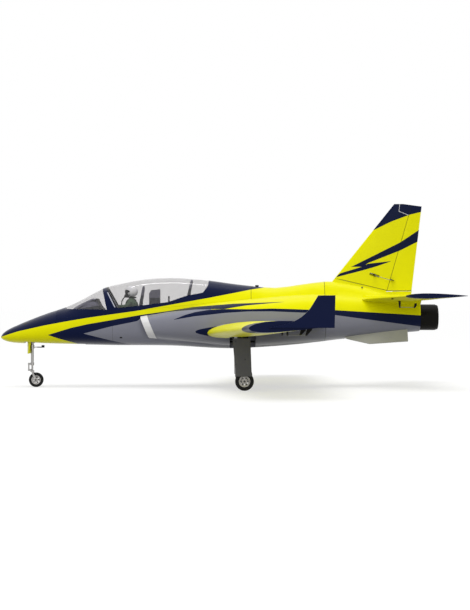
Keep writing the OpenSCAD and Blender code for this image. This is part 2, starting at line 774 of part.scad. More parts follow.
// Twisted blades: each is a stack of thin slices, turned more towards the tip
module fan_rotor() {
    color("#2f3136") {
        difference() {
            union() {
                rod_x([fan_x + 8, 0, fan_z], hub_r, 18);
                translate([fan_x + 8, 0, fan_z]) rotate([0, -90, 0]) rotate_extrude($fn = 48)
                    polygon([for (i = [0:8]) [hub_r * cos(i * 11.25), 22 * sin(i * 11.25)], [0, 0]]);
            }
            rod_x([fan_x + 4, 0, fan_z], 2.5 + running_fit, 40);
        }
        for (i = [0:fan_blades - 1]) translate([fan_x + 17, 0, fan_z]) rotate([360 / fan_blades * i, 0, 0])
            loft([for (k = [0:3]) let (r = lerp(hub_r - 2, blade_r - 0.3, k / 3), a = lerp(52, 24, k / 3))
                [for (q = [[-9, 0], [-3, -1], [4, -0.9], [9, 0], [4, 0.9], [-3, 1.1]])
                    [q[0] * sin(a) - q[1] * cos(a), q[0] * cos(a) + q[1] * sin(a), r]]]);
    }
}

module exhaust_pipe() {
    r0 = pipe_start_r;
    r1 = nozzle_d / 2 - 1.6 - pipe_wall;
    l = tail_end_x - pipe_x;
    ri = nozzle_d / 2 - nozzle_wall;
    color(dark) translate([pipe_x + seat_gap, 0, fan_z]) rotate([0, 90, 0]) rotate_extrude($fn = 64) polygon([
        [r0, 0], [r0 + pipe_wall, 0], [r1 + pipe_wall, l], [nozzle_d / 2, l], [nozzle_d / 2, l + nozzle_l - 9],
        [nozzle_d / 2 - 3, l + nozzle_l], [nozzle_d / 2 - 3 - nozzle_wall, l + nozzle_l],
        [ri, l + nozzle_l - 9], [ri, l + 4], [r1, l]
    ]);
}

bay_x0 = -447;
bay_x1 = 2;
battery_x = -442;
battery_l = 158;
battery_w = 48;
battery_h = 46;
tray_t = 2;
tray_top = bay_floor_z + seat_gap + tray_t;
module flight_battery() {
    color("#2b4a8a") translate([battery_x, -battery_w / 2, tray_top + seat_gap])
        cube([battery_l, battery_w, battery_h]);
}
esc_x = -96;
esc_l = 84;
esc_h = 14;
receiver_x = -178;
pad_x = -270;
pad_l = 80;
pad_w = 60;
pad_top = tray_top + 1;
// Tray, with the speed controller under its cooling fins, the receiver and a raised pad for one more device
module electronics() {
    w = bay_w / 2 - seat_gap;
    color(ply) block([bay_x0 + seat_gap, -w, bay_floor_z + seat_gap], [bay_x1 - seat_gap, w, tray_top]);
    color(ply) block([pad_x, -pad_w / 2, tray_top], [pad_x + pad_l, pad_w / 2, pad_top]);
    color(dark) block([esc_x, -20, tray_top], [esc_x + esc_l, 20, tray_top + esc_h]);
    color(metal) for (i = [0:7]) translate([esc_x + 4 + 10 * i, -18, tray_top + esc_h]) cube([3, 36, 8]);
    color(dark) block([receiver_x, -12, tray_top], [receiver_x + 44, 12, tray_top + 14]);
}

module all_servos_left() {
    on(flap_frame) servo();
    on(aileron_frame) servo();
    on(elevator_frame) servo();
}
module servos() {
    color(dark) both() all_servos_left();
    color(dark) on(rudder_frame) servo();
}

// ---------------------------------------------------------------- undercarriage

leg_pin_r = 2;
ear_t = 6;
strut_x = 27;
main_pivot_z = 175;
link_z = 56;
trunnion_w = 16;
module retract_pocket() {
    g = seat_gap;
    w = trunnion_w / 2 + g + ear_t + g;
    block([strut_x - w, -main_track_y - 44 - g, 0], [strut_x + w, -main_track_y - 10, main_pivot_z + 13 + g]);
}
// Housing with two ears round the trunnion; its pin runs along X
module main_retract() {
    w = trunnion_w / 2 + seat_gap;
    difference() {
        union() {
            block([strut_x - w - ear_t, -main_track_y - 44, main_pivot_z - 6],
                [strut_x + w + ear_t, -main_track_y - 14, main_pivot_z + 13]);
            for (x = [strut_x - w - ear_t, strut_x + w])
                block([x, -main_track_y - 15, main_pivot_z - 6], [x + ear_t, -main_track_y + 6, main_pivot_z + 7]);
        }
        rod_x([strut_x - 30, -main_track_y, main_pivot_z], leg_pin_r + running_fit, 60);
    }
}
nose_ear_y = 9;
nose_ear_t = 5;
module nose_retract() {
    top = nose_housing_top - 0.1;
    out = nose_ear_y + nose_ear_t;
    difference() {
        union() {
            for (y = [-out, nose_ear_y])
                block([nose_leg_x - 9, y, nose_pivot_z - 8], [nose_leg_x + 12, y + nose_ear_t, top]);
            block([nose_leg_x - 9, -out, 196], [nose_leg_x + 12, out, top]);
        }
        rod_y([nose_leg_x, 0, nose_pivot_z], 2 + running_fit, 60, true);
    }
}
module retract_units() {
    color(dark) both() main_retract();
    color(dark) nose_retract();
}

main_axle_z = main_tyre_d / 2;
module leg_left() {
    w = trunnion_w / 2;
    difference() {
        union() {
            block([strut_x - w, -main_track_y - 6, main_pivot_z - 7], [strut_x + w, -main_track_y + 6, main_pivot_z + 5]);
            translate([strut_x, -main_track_y, link_z]) cylinder(h = main_pivot_z - link_z, r = main_strut_d / 2, $fn = 32);
            rod_x([strut_x - w - seat_gap - ear_t, -main_track_y, main_pivot_z], leg_pin_r, trunnion_w + 2 * (seat_gap + ear_t));
            // fork that carries the trailing link's pin
            block([strut_x - 5, -main_track_y - 3, link_z - 4], [strut_x + 5, -main_track_y + 3, link_z + 6]);
            rod_y([strut_x, -main_track_y - 3, link_z], 5, 6);
            // clamps for the cover
            for (z = [78, 148]) block([strut_x - 5, -main_track_y - 12, z], [strut_x + 5, -main_track_y, z + 8]);
        }
        rod_y([strut_x, -main_track_y, link_z], 2 + running_fit, 20, true);
    }
}
module left_leg() { color(metal) left() leg_left(); }
module right_leg() { color(metal) right() leg_left(); }

link_y = main_tyre_w / 2 + 1.2; // face of the link beside the tyre
module link_left() {
    y0 = -main_track_y + link_y;
    // pin through the leg, arm beside the tyre, axle
    rod_y([strut_x, -main_track_y - 4, link_z], 2, link_y + 5);
    hull() {
        rod_y([strut_x, y0, link_z], 5, 4);
        rod_y([main_x, y0, main_axle_z], 4.5, 4);
    }
    rod_y([main_x, -main_track_y - main_tyre_w / 2 + 1, main_axle_z], 2, main_tyre_w / 2 + link_y);
}
module left_link() { color(metal) left() link_left(); }
module right_link() { color(metal) right() link_left(); }

// Spoked hub: rim and boss joined by a drilled web
module hub(r, w, holes) {
    rotate([90, 0, 0]) difference() {
        rotate_extrude($fn = 48) polygon([
            [2 + running_fit, -w / 2], [5, -w / 2], [5, -w / 5], [r * 0.8, -w / 5], [r * 0.9, -w / 2.2], [r, -w / 2.2],
            [r, w / 2.2], [r * 0.9, w / 2.2], [r * 0.8, w / 5], [5, w / 5], [5, w / 2], [2 + running_fit, w / 2]
        ]);
        for (i = [0:holes - 1]) rotate([0, 0, 360 / holes * (i + 0.5)]) translate([r * 0.58, 0, 0])
            cylinder(h = w, r = r * 0.12, center = true, $fn = 24);
    }
}
// Tyre round the hub, with a rounded tread
module tyre(r, hub_r, w) {
    rotate([90, 0, 0]) rotate_extrude($fn = 64) polygon([
        [hub_r + seat_gap / 3, -w * 0.42], [hub_r + 2, -w / 2], [r * 0.8, -w / 2], [r * 0.93, -w * 0.4], [r * 0.985, -w * 0.22],
        [r, 0], [r * 0.985, w * 0.22], [r * 0.93, w * 0.4], [r * 0.8, w / 2], [hub_r + 2, w / 2], [hub_r + seat_gap / 3, w * 0.42]
    ]);
}
main_hub_r = 17.5;
nose_hub_r = 14.5;
module at_main_wheel() { translate([main_x, -main_track_y, main_axle_z]) children(); }
module left_wheel() { color(metal) left() at_main_wheel() hub(main_hub_r, main_tyre_w - 2, 6); }
module right_wheel() { color(metal) right() at_main_wheel() hub(main_hub_r, main_tyre_w - 2, 6); }
module left_tyre() { color(dark) left() at_main_wheel() tyre(main_tyre_d / 2, main_hub_r, main_tyre_w); }
module right_tyre() { color(dark) right() at_main_wheel() tyre(main_tyre_d / 2, main_hub_r, main_tyre_w); }

module cover_left() {
    y = -main_track_y - 12 - seat_gap - cover_t;
    translate([0, y + cover_t, 0]) rotate([90, 0, 0]) linear_extrude(cover_t) difference() {
        polygon([[17, 162], [72, 162], [76.4, 46], [74, 44.5], [29, 44.5], [27, 46]]);
        translate([56, 97]) circle(r = 1.6, $fn = 24);
    }
}
module left_leg_cover() { color("#46464a") left() cover_left(); }
module right_leg_cover() { color("#46464a") right() cover_left(); }

// Nose leg: trunnion turns back into the well; the tube in it steers; the piston slides in the tube
nose_axle_z = nose_tyre_d / 2;
nose_axle_x = nose_leg_x + 12.6;
tube_top = nose_pivot_z - 10;
piston_r = 3;
fork_top = 54;
piston_top = 98;
tube_end = fork_top + oleo_travel + 8;
module nose_trunnion() {
    color(metal) difference() {
        union() {
            block([nose_leg_x - 7, -nose_ear_y + seat_gap, nose_pivot_z - 24], [nose_leg_x + 7, nose_ear_y - seat_gap, nose_pivot_z + 6]);
            rod_y([nose_leg_x, 0, nose_pivot_z], 2, 2 * (nose_ear_y + nose_ear_t), true);
            block([nose_leg_x - 12.5, -2, nose_pivot_z - 24], [nose_leg_x - 6, 2, nose_pivot_z - 16]);
        }
        translate([nose_leg_x, 0, nose_pivot_z - 30]) cylinder(h = 30 - 8, r = nose_strut_d / 2 + running_fit, $fn = 32);
    }
}
module nose_strut() {
    color(metal) {
        difference() {
            union() {
                translate([nose_leg_x, 0, tube_end]) cylinder(h = nose_pivot_z - 8.3 - tube_end, r = nose_strut_d / 2, $fn = 32);
                translate([nose_leg_x, 0, tube_end]) cylinder(h = 9, r = nose_strut_d / 2 + 1.2, $fn = 32);
                translate([nose_leg_x, 0, 124]) cylinder(h = 12, r = nose_strut_d / 2 + 2, $fn = 32);
                // lug for the scissor links, and the tiller
                block([nose_leg_x - 14, -2.5, tube_end + 2], [nose_leg_x - 3, 2.5, tube_end + 8]);
                block([nose_leg_x + 4, -1.5, 127], [nose_leg_x + 37, 1.5, 130]);
                block([nose_leg_x + 30, -2.5, 127], [nose_leg_x + 39, 2.5, 135]);
            }
            translate([nose_leg_x, 0, tube_end - 1])
                cylinder(h = piston_top + oleo_travel + 4 - tube_end, r = piston_r + running_fit, $fn = 32);
        }
    }
}
module nose_fork() {
    fork_y = nose_tyre_w / 2 + 1.2;
    color(metal) {
        translate([nose_leg_x, 0, fork_top - 4]) cylinder(h = piston_top - fork_top + 4, r = piston_r, $fn = 32);
        block([nose_leg_x - 5, -fork_y - 3, fork_top - 5], [nose_leg_x + 5, fork_y + 3, fork_top]);
        block([nose_leg_x - 14, -2.5, fork_top - 2], [nose_leg_x - 3, 2.5, fork_top + 4]);
        for (side = [-1, 1]) hull() {
            rod_y([nose_leg_x, side * (fork_y + 1.5), fork_top - 2.5], 2.5, 3, true);
            rod_y([nose_axle_x, side * (fork_y + 1.5), nose_axle_z], 3.5, 3, true);
        }
        rod_y([nose_axle_x, 0, nose_axle_z], 2, 2 * fork_y + 6, true);
    }
}
module at_nose_wheel() { translate([nose_axle_x, 0, nose_axle_z]) children(); }
module nose_wheel() { color(metal) at_nose_wheel() hub(nose_hub_r, nose_tyre_w - 2, 6); }
module nose_tyre() { color(dark) at_nose_wheel() tyre(nose_tyre_d / 2, nose_hub_r, nose_tyre_w); }
door_t = 2.4;
door_r = 30; // the door is bent like the nose's skin
module nose_door() {
    x = nose_leg_x - 12.5 - seat_gap - door_t;
    color(yellow) intersection() {
        translate([x + door_r, 0, 0]) rotate([0, -90, 0]) linear_extrude(door_r)
            polygon([[108, -16], [142, -22], [150, -22], [150, 22], [142, 22], [108, 16]]);
        translate([x + door_r, 0, 100]) difference() {
            cylinder(h = 60, r = door_r, $fn = 96);
            translate([0, 0, -1]) cylinder(h = 62, r = door_r - door_t, $fn = 96);
        }
    }
}

// ---------------------------------------------------------------- hatch

latch_x = 90;
latch_z = 319;
latch_travel = 5;
thumb_l = 11;
thumb_top = 328.5;
latch_end = latch_x + thumb_l + 8;
latch_spring_l = 8; // room behind the latch for its spring
module latch_slot() {
    block([hatch_x1 - 12, -6, latch_z - 8], [latch_end + latch_spring_l, 6, latch_z + 1]);
    block([latch_x - latch_travel - 1, -4, latch_z], [latch_x + thumb_l + 1, 4, 360]);
}
// Drawn back at rest: it slides forward into the hatch
module hatch_latch() {
    g = seat_gap;
    color(dark) {
        block([hatch_x1 + 1, -6 + g, latch_z - 8 + g], [latch_end - g, 6 - g, latch_z + 1 - g]);
        block([latch_x, -4 + g, latch_z - g], [latch_x + thumb_l, 4 - g, thumb_top]);
    }
}

glass_side = [
    [-350, 254], [-288, 261], [-188, 274], [-130, 294], [-78, 304], [-62, 326], [-58, 360], [-386, 360], [-386, 325]
];
screen_side = [[-520, 252], [-383, 249], [-403, 325], [-403, 360], [-530, 360]];
module glazing(grow) {
    for (s = [glass_side, screen_side]) across(deep) offset(delta = grow) polygon(s);
}
module canopy_glass() {
    color("#dfe3e8", 0.4) moulding() difference() {
        intersection() {
            pod_form(0, -580, 10);
            glazing(-seat_gap);
        }
        pod_form(glass_t, -590, 20);
    }
}
module hatch_frame() {
    color(navy) moulding() difference() {
        intersection() {
            pod_form(0, -600, 160);
            hatch_side(seat_gap);
        }
        pod_form(hatch_wall, -530, 8);
        glazing(0);
        block([-60, -30, 250], [60, 30, 300]);
        latch_slot();
    }
}

// Tub: a floor along the sill, the coaming over the front panel, seats and the rear panel
tub_wall = 3;
function sill(x) = lerp(hatch_z0, hatch_z1, (x - hatch_x0) / (hatch_x1 - hatch_x0));
function floor_z(x) = sill(x) + 2 * seat_gap + tub_wall;
module seat_side(x, top) {
    polygon([[x - 2, floor_z(x - 2) - 1], [x + 4, floor_z(x + 4) - 1], [x + 16, top], [x + 11, top]]);
}
module cockpit_tub() {
    x0 = -500;
    x1 = -60;
    low = 2 * seat_gap;
    color("#6d6b78") moulding() intersection() {
        pod_form(hatch_wall + seat_gap, -530, 8);
        union() {
            across(deep) polygon([[x0, sill(x0) + low], [x1, sill(x1) + low], [x1, floor_z(x1)], [x0, floor_z(x0)]]);
            across(deep) difference() {
                polygon([
                    [-498, floor_z(-498) - 1], [-496, 249], [-433, 285], [-417, 285], [-407, 262], [-396, 249],
                    [-396, floor_z(-396) - 1]
                ]);
                polygon([
                    [-492, floor_z(-492)], [-490, 247], [-432, 280], [-420, 280], [-411, 260], [-401, 247],
                    [-401, floor_z(-401)]
                ]);
            }
            across(36) seat_side(-283, 322);
            across(36) seat_side(-128, 343);
            across(44) polygon([
                [-251, floor_z(-251) - 1], [-251, 302], [-244, 312], [-217, 315], [-217, floor_z(-217) - 1]
            ]);
            across(5) polygon([[-191, floor_z(-191) - 1], [-191, 293], [-186, 293], [-186, floor_z(-186) - 1]]);
        }
    }
}
// Seated figure in a helmet and mask
module pilot() {
    x = -311;
    color("white") translate([x, 0, 307]) scale([1.1, 0.95, 1]) sphere(r = 18, $fn = 32);
    color("#222222") translate([x - 16, 0, 292]) sphere(r = 7, $fn = 24);
    color("#5e6f5c") translate([x, 0, 282]) cylinder(h = 12, r = 9, $fn = 32);
    color("#5e6f5c") difference() {
        union() {
            hull() both() {
                translate([x - 4, 20, 272]) sphere(r = 11, $fn = 24);
                translate([x - 2, 14, 238]) cylinder(h = 10, r = 12, $fn = 24);
            }
            both() hull() {
                translate([x - 6, 27, 272]) sphere(r = 8, $fn = 20);
                translate([x - 34, 24, 256]) sphere(r = 6, $fn = 20);
            }
        }
        across(deep) polygon([
            [-500, 0], [0, 0], [0, floor_z(0) + seat_gap], [-500, floor_z(-500) + seat_gap]
        ]);
    }
}

// ---------------------------------------------------------------- hinged surfaces

module aileron_left() {
    hinged_panel(wing, wing_hinge, aileron_y0 + end_gap, aileron_y1 - end_gap);
    on(aileron_frame) horn(hinge_r(wing, wing_hinge, -aileron_frame[0].y));
}
module flap_left() {
    hinged_panel(wing, wing_hinge, flap_y0 + end_gap, flap_y1 - end_gap);
    on(flap_frame) horn(hinge_r(wing, wing_hinge, -flap_frame[0].y));
}
module elevator_left() {
    hinged_panel(tail, tail_hinge, elevator_y0 + end_gap, tail_tip_y);
    on(elevator_frame) horn(hinge_r(tail, tail_hinge, -elevator_frame[0].y));
}
module left_aileron() { color(navy) left() aileron_left(); }
module right_aileron() { color(navy) right() aileron_left(); }
module left_flap() { color(yellow) left() flap_left(); }
module right_flap() { color(yellow) right() flap_left(); }
module left_elevator() { color(yellow) left() elevator_left(); }
module right_elevator() { color(yellow) right() elevator_left(); }
module rudder() {
    color(yellow) {
        upright() hinged_panel(fin_form, rudder_hinge, rudder_foot_z, balance_z + 1);
        intersection() {
            upright() panel(fin_form, fin_foot_z, fin_top_z);
            balance_side();
            under_tip();
        }
        on(rudder_frame) horn(hinge_r(fin_form, rudder_hinge, rudder_z));
    }
}

module left_aileron_arm() { color(dark) left() on(aileron_frame) servo_arm(); }
module right_aileron_arm() { color(dark) right() on(aileron_frame) servo_arm(); }
module left_flap_arm() { color(dark) left() on(flap_frame) servo_arm(); }
module right_flap_arm() { color(dark) right() on(flap_frame) servo_arm(); }
module left_elevator_arm() { color(dark) left() on(elevator_frame) servo_arm(); }
module right_elevator_arm() { color(dark) right() on(elevator_frame) servo_arm(); }
module rudder_arm() { color(dark) on(rudder_frame) servo_arm(); }
module left_aileron_rod() { color(metal) left() on(aileron_frame) pushrod(); }
module right_aileron_rod() { color(metal) right() on(aileron_frame) pushrod(); }
module left_flap_rod() { color(metal) left() on(flap_frame) pushrod(); }
module right_flap_rod() { color(metal) right() on(flap_frame) pushrod(); }
module left_elevator_rod() { color(metal) left() on(elevator_frame) pushrod(); }
module right_elevator_rod() { color(metal) right() on(elevator_frame) pushrod(); }
module rudder_rod() { color(metal) on(rudder_frame) pushrod(); }

fuselage_front();
fuselage_rear();
intake_lips();
fan_housing();
exhaust_pipe();
wing_carrier();
spar_tubes();
left_wing();
right_wing();
fin();
left_stabiliser();
right_stabiliser();
ventral_fins();
flight_battery();
electronics();
servos();
retract_units();
hatch_frame();
canopy_glass();
cockpit_tub();
pilot();
hatch_latch();
left_aileron();
right_aileron();
left_flap();
right_flap();
left_elevator();
right_elevator();
rudder();
left_aileron_arm();
right_aileron_arm();
left_flap_arm();
right_flap_arm();
left_elevator_arm();
right_elevator_arm();
rudder_arm();
left_aileron_rod();
right_aileron_rod();
left_flap_rod();
right_flap_rod();
left_elevator_rod();
right_elevator_rod();
rudder_rod();
fan_rotor();
nose_trunnion();
nose_strut();
nose_fork();
nose_wheel();
nose_tyre();
nose_door();
left_leg();
right_leg();
left_link();
right_link();
left_wheel();
right_wheel();
left_tyre();
right_tyre();
left_leg_cover();
right_leg_cover();
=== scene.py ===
"""Looks of a radio-controlled ducted-fan sport jet: paint, fittings, cockpit, pilot, tyres and stage."""

import functools
import math

import bmesh
import bpy
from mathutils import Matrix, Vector


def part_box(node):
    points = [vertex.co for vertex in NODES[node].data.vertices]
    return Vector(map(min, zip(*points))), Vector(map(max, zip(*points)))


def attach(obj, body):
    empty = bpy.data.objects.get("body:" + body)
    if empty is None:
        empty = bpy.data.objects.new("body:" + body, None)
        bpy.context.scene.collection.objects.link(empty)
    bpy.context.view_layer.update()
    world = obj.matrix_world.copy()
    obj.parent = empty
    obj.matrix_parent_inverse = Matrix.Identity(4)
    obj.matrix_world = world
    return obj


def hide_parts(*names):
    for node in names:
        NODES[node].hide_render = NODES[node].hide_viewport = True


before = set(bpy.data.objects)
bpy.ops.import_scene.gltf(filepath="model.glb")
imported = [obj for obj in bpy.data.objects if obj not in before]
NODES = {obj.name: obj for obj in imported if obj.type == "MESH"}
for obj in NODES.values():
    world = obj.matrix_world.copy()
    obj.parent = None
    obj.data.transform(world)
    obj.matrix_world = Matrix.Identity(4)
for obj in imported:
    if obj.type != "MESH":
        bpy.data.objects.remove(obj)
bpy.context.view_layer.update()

bl_info = {
    "name": "Sport jet looks",
    "version": (1, 0, 0),
    "blender": (4, 5, 0),
    "location": "3D View > Sidebar > Sport jet",
    "description": "Paint, fittings, canopy, pilot, tyres, screws and stage for a ducted-fan model jet",
    "category": "Object",
}

MM = 0.001
SIDES = ("left", "right")

# Shapes, lines and boxes are in millimetres. A box has a low and a high corner, with y counted from the
# centreline, so it holds for both sides, and None leaves that side of the box open.

# ---------------- paint scheme

# Side view (x, z) of the lines between the colours of the fuselage
NAVY_TOP = [
    (-740, 158), (-728, 162), (-672, 179.5), (-579, 200), (-511, 212.5), (-444, 223.7), (-373, 233.9),
    (-291, 245.3), (-207, 260.4), (-61, 286.7), (34, 305.3), (78, 314.4), (122, 321), (140, 420),
    (700, 430),
]
STRIPE_FOOT = [
    (-740, 117), (-572, 168.8), (-499, 191.2), (-443, 203.7), (-372, 215.8), (-277, 232.6), (-185, 245.5),
    (-104, 258.8), (21.5, 268.5), (167, 273.9), (300, 278), (700, 280),
]
BAND_FOOT = [
    (-740, 99), (-457, 173.5), (-372, 195.8), (-283, 214), (-270, 229), (-185, 243), (-101.5, 250),
    (-7.8, 251.8), (56, 262.5), (179, 273.9), (300, 300), (700, 400),
]
DART_TOP = [
    (-740, 100), (-190, 190), (-172, 217.2), (-133, 233), (-101.5, 242), (-56, 249.6), (-7.8, 251.8),
    (67.6, 251.1), (140.6, 253.3), (201.2, 251.7), (256, 249.5), (346, 247.9), (613, 231.6), (700, 227),
]
DART_FOOT = [
    (-740, 300), (-190, 240), (-172, 217.2), (-101.5, 229.1), (-56, 233.8), (-7.8, 239.5), (67.6, 244.2),
    (140.6, 244.4), (201.2, 241.9), (256, 239.7), (346, 232), (613, 196.2), (700, 185),
]
WEDGE_FOOT = [(-740, 246), (-457, 173.5), (-373, 152), (-312, 138.2), (-200, 110), (700, 90)]
CHIN_TOP = [(-740, 215), (-572, 168.8), (-534, 156.3), (-489, 143.9), (-440, 125), (700, 90)]
DART_YELLOW_FRONT = -50

# Painted highlight and navy crescent over the wing's root: the silver-grey streak stands for light falling on
# the fuselage's side there.
# Both are parabolas round one height that open to the rear, each with its front end and its curve (per
# metre), inside a box.
# The highlight fades out at its rear end.
ROOT_HEIGHT = 180
STREAK_FRONT = -60
STREAK_CURVE = 90.0
STREAK_BOX = ((None, 80, 177), (120, None, 204))
STREAK_END = 120
STREAK_FADE = 140
CRESCENT_FRONT = -100
CRESCENT_CURVE = 240.0
CRESCENT_BOX = ((None, 80, 158), (0, None, 209))

# Thin dark lines of the fuselage seam and of the hatch's rear edge, and a fainter one on the nose
SEAMS = [((311.1, None, 100), (312.9, None, 345)), ((75.3, None, 284), (76.9, None, 345))]
NOSE_SEAM = ((-365.4, None, 146), (-363.8, None, 197))

# Windscreen bow: the side view line of its light edge, half that edge's width, and where bow and edge show
BOW_LINE = ((-381.5, 302), (-356.7, 256.1))
BOW_EDGE_HALF = 1.6
BOW_BOX = ((-400, None, 257), (-335, None, 330))
BOW_EDGE_BOX = ((-400, None, 257), (-335, None, 305))

# Fin: the lines between its colours, its foot line and the rudder's hinge line
FIN_CAP = [(-740, 300), (471, 505.4), (528, 533.1), (587, 555.3), (625, 564.6), (700, 575)]
FIN_BAND_TOP = [(-740, 300), (400, 387.8), (558, 466.7), (616, 505.4), (700, 560)]
FIN_BAND_FOOT = [
    (-740, 400), (398, 387.5), (440, 387.2), (450, 398.1), (558, 440.6), (613, 468.3), (700, 505),
]
FIN_DART_TOP = [
    (-740, 200), (348, 351), (361, 365.6), (444, 391), (450.5, 397), (530, 406), (540, 380), (700, 300),
]
FIN_DART_FOOT = [
    (-740, 340), (340, 348), (347, 352.8), (439, 376.7), (478, 388), (530, 406), (540, 420), (700, 480),
]
FIN_FOOT = [(-740, 620), (355, 349), (366, 347.6), (518, 311.6), (700, 311.6)]
RUDDER_HINGE = ((586.7, 561), (514.1, 310))
HINGE_LINE_HALF = 0.9

# Wing: its navy tip lies outside a slanting line, y - slant * x, and beyond the winglet's root
TIP_SLANT = 0.355
TIP_LINE = 587
WINGLET_ROOT = 694.2
TAIL_TIP = 262

# Tub: what lies below the line is darker. The instrument hood has a black edge.
TUB_DARK = [
    (-740, 243), (-488, 247.6), (-440, 258), (-418, 262.5), (-300, 262), (-292, 295), (-262, 295),
    (-256, 287.6), (-212, 287.6), (-205, 300), (-180, 300), (-150, 318), (-100, 318), (700, 330),
]
HOOD_BOX = ((-430, None, 246), (-388, None, 300))
HOOD_EDGE = ((-415.9, 284), (-393.4, 249))
HOOD_EDGE_FRONT = -5.5

# Boxes painted near-black as painted shade where the hollows lie in shade: hatch bay, wells, fan bay, marks
# beside the wells that stand for dark slots, ducts and belly slot
WHEEL_WELL = ((7.5, 16.5, 100), (90.5, 214.5, 191.5))
SHADED_HOLLOWS = [
    ((-533, None, 151.5), (67.5, 38.2, 305)),
    ((-652.5, None, 144), (-454.5, 26.3, 207.5)),
    ((7.5, 18.5, 140), (90.5, 214.5, 191.5)),
    ((235, None, 176), (330, 48, 274)),
    ((2, 15, 143.5), (21, 19, 150)),
    ((74, 15, 143.5), (88, 19, 150)),
    ((-232, 60, 172), (-60, 96.9, 222)),
    ((-222, 90, 184), (-60, 101.7, 216)),
    ((-200, 90, 184), (40, 102.8, 216)),
    ((-342, None, 158.5), (-334, None, 163)),
]

# Control horns that stand out of the aileron, flap, elevator and rudder, and the end of the steering tiller
HORNS = [
    ((225, 474, 165), (250, 482, 197)),
    ((217, 265, 165), (242, 273, 191.5)),
    ((560, 84, 240), (600, 94, 270)),
    ((512, 7, 338), (536, 32, 354)),
]
TILLER_END = ((-613, None, 127), (-560, None, 143))

BLACK = (0.010, 0.010, 0.012, 1)
BOW_EDGE_LIGHT = (0.42, 0.43, 0.50, 1)
SPECKLE = 0.06

# The frame that the side view lines are drawn in, in metres
LINE_FRONT = -0.75
LINE_LENGTH = 1.5
LINE_HEIGHT = 0.62

# ---------------- shapes

# Winglet skin: its curved front edge and its rear corners in side view, and its two faces
WINGLET_EDGE = [
    (118, 201.9), (142, 207.3), (168.5, 213.4), (201, 228.6), (225.6, 250.4), (241.5, 274.2),
    (251.5, 290.5),
]
WINGLET_REAR = [(298.4, 291), (298.4, 285), (296.4, 201.9)]
WINGLET_FACES = (-700.25, -694.86)
WINGLET_ROUND = 1.2

# Fairing under the rudder, from above: its tail, and two steps of foot, top and front end. The step near
# the hinge is lower, because the rudder's foot dips there as it swings.
FAIRING_TAIL = [(570, -2.4), (595, -0.6), (595, 0.6), (570, 2.4)]
FAIRING_STEPS = [
    (304.5, 307.6, [(542, 4.3), (512.5, 5.6), (509, 0), (512.5, -5.6), (542, -4.3)]),
    (306.5, 308.6, [(533, 3.4), (533, -3.4)]),
]

# Link plates of the nose leg: place, end radius, the heights of their two eyes, and their faces
LINK_X = -640.5
LINK_ROUND = 1.8
LINK_EYES = (55, 75)
LINK_FACES = (-3.8, -2.6)

# Instrument hood, from front to rear: x, top, half width, and how far its foot leans back
HOOD_FOOT = 246.5
HOOD_SECTIONS = [
    (-494.5, 254.7, 14, 0), (-489, 258.2, 20, 0), (-480, 263.5, 27, 0), (-470, 269, 33, 0),
    (-458.6, 274.7, 38, 0), (-447, 280, 43, 0), (-436, 283.4, 46, 0), (-426, 284, 48, 2),
    (-419.5, 282.5, 50, 14), (-418, 281, 49, 17),
]

# Seat cushions, from the foot up: height, front, rear and half width
CUSHIONS = {
    "front_seat_cushion": [
        (262, -285, -273.5, 17), (280, -281.6, -272, 17), (293, -279, -269.5, 17),
        (310, -276, -267.2, 16.5), (320, -273.6, -266.6, 15), (324, -272.2, -267.2, 12.5),
        (325.5, -271, -268.6, 9),
    ],
    "rear_seat_cushion": [
        (284, -132, -122, 17), (296, -129.5, -120.5, 17), (320, -124, -114.8, 15), (337, -119.8, -111, 12),
        (343, -118, -111.2, 8.5), (345.5, -116.5, -112.6, 5),
    ],
}

# Tyre section: where the grooves lie and where each one starts, deepens and ends, in shares of the width
GROOVES = (-0.30, -0.10, 0.10, 0.30)
GROOVE_EDGES = ((-0.045, 0), (-0.03, 1), (0.03, 1), (0.045, 0))

# Screw heads: on the leg covers and the nose fork (x, z), and on both sides of the tail cone (x, y, z)
COVER_SCREWS = [(27, 82), (27, 152), (56, 97)]
NOSE_AXLE = (-616.4, 23.5)
TAIL_SCREW = (433, 19, 321)

# Pilot: the middle of the helmet, and the rows of its visor (height and how far back it reaches)
HEAD = Vector((-309, 0, 307))
HELMET_SIZE = 19
HELMET_SQUASH = (1.09, 0.95, 1.0)
JAW = 6
VISOR_SIZE = (21.6, 18.9, 19.8)
VISOR_THICK = 1.6
VISOR_ROWS = [
    (313.4, -323), (311.5, -317.5), (309.5, -314.6), (307.4, -313.4), (305.6, -315), (303.6, -320),
    (301, -321), (298, -320.4), (295, -319.6), (292.4, -318),
]
# Mask sections: x, height of the middle, half width and half height
MASK_SECTIONS = [
    (-321, 294, 9.5, 6.5), (-327, 294.5, 8.2, 6.4), (-330.5, 293.5, 6.2, 5.4), (-332.6, 291.5, 3.2, 3.0),
]
HOSE = [(-330.5, 0, 289.5), (-334.5, -1, 286), (-339.5, -3, 277), (-340.5, -6, 263)]
# Body sections from the waist to the neck: height, half depth, half width and middle
BODY_SECTIONS = [
    (251.5, 18.5, 26, -306.5), (262, 20, 30, -306), (270, 18.5, 32, -306.5), (277, 16, 30, -308.5),
    (282.5, 12, 21, -309), (286, 8.5, 12, -309), (292, 8, 10, -309),
]
ARM = [(-312, -28, 275.5), (-318, -34, 265), (-331, -33, 259), (-347, -25, 260.5)]
STRAP = [(-294, -12, 279), (-307, -12.5, 283.8), (-321.5, -11.5, 278.5), (-327, -9, 266)]


# Stage, in metres: half the floor's width, and the camera's place and lens
FLOOR_HALF = 60
CAMERA_PLACE = (0.0247, -4.5, 0.2644)
CAMERA_LENS = 82.33

# ---------------- settings


def colour(name, description, value):
    return bpy.props.FloatVectorProperty(
        name=name, description=description, subtype="COLOR", size=4, min=0, max=1, default=(*value, 1)
    )


def length(name, description, mm, low, high):
    return bpy.props.FloatProperty(
        name=name, description=description, default=mm * MM, min=low * MM, max=high * MM,
        unit="LENGTH", precision=5,
    )


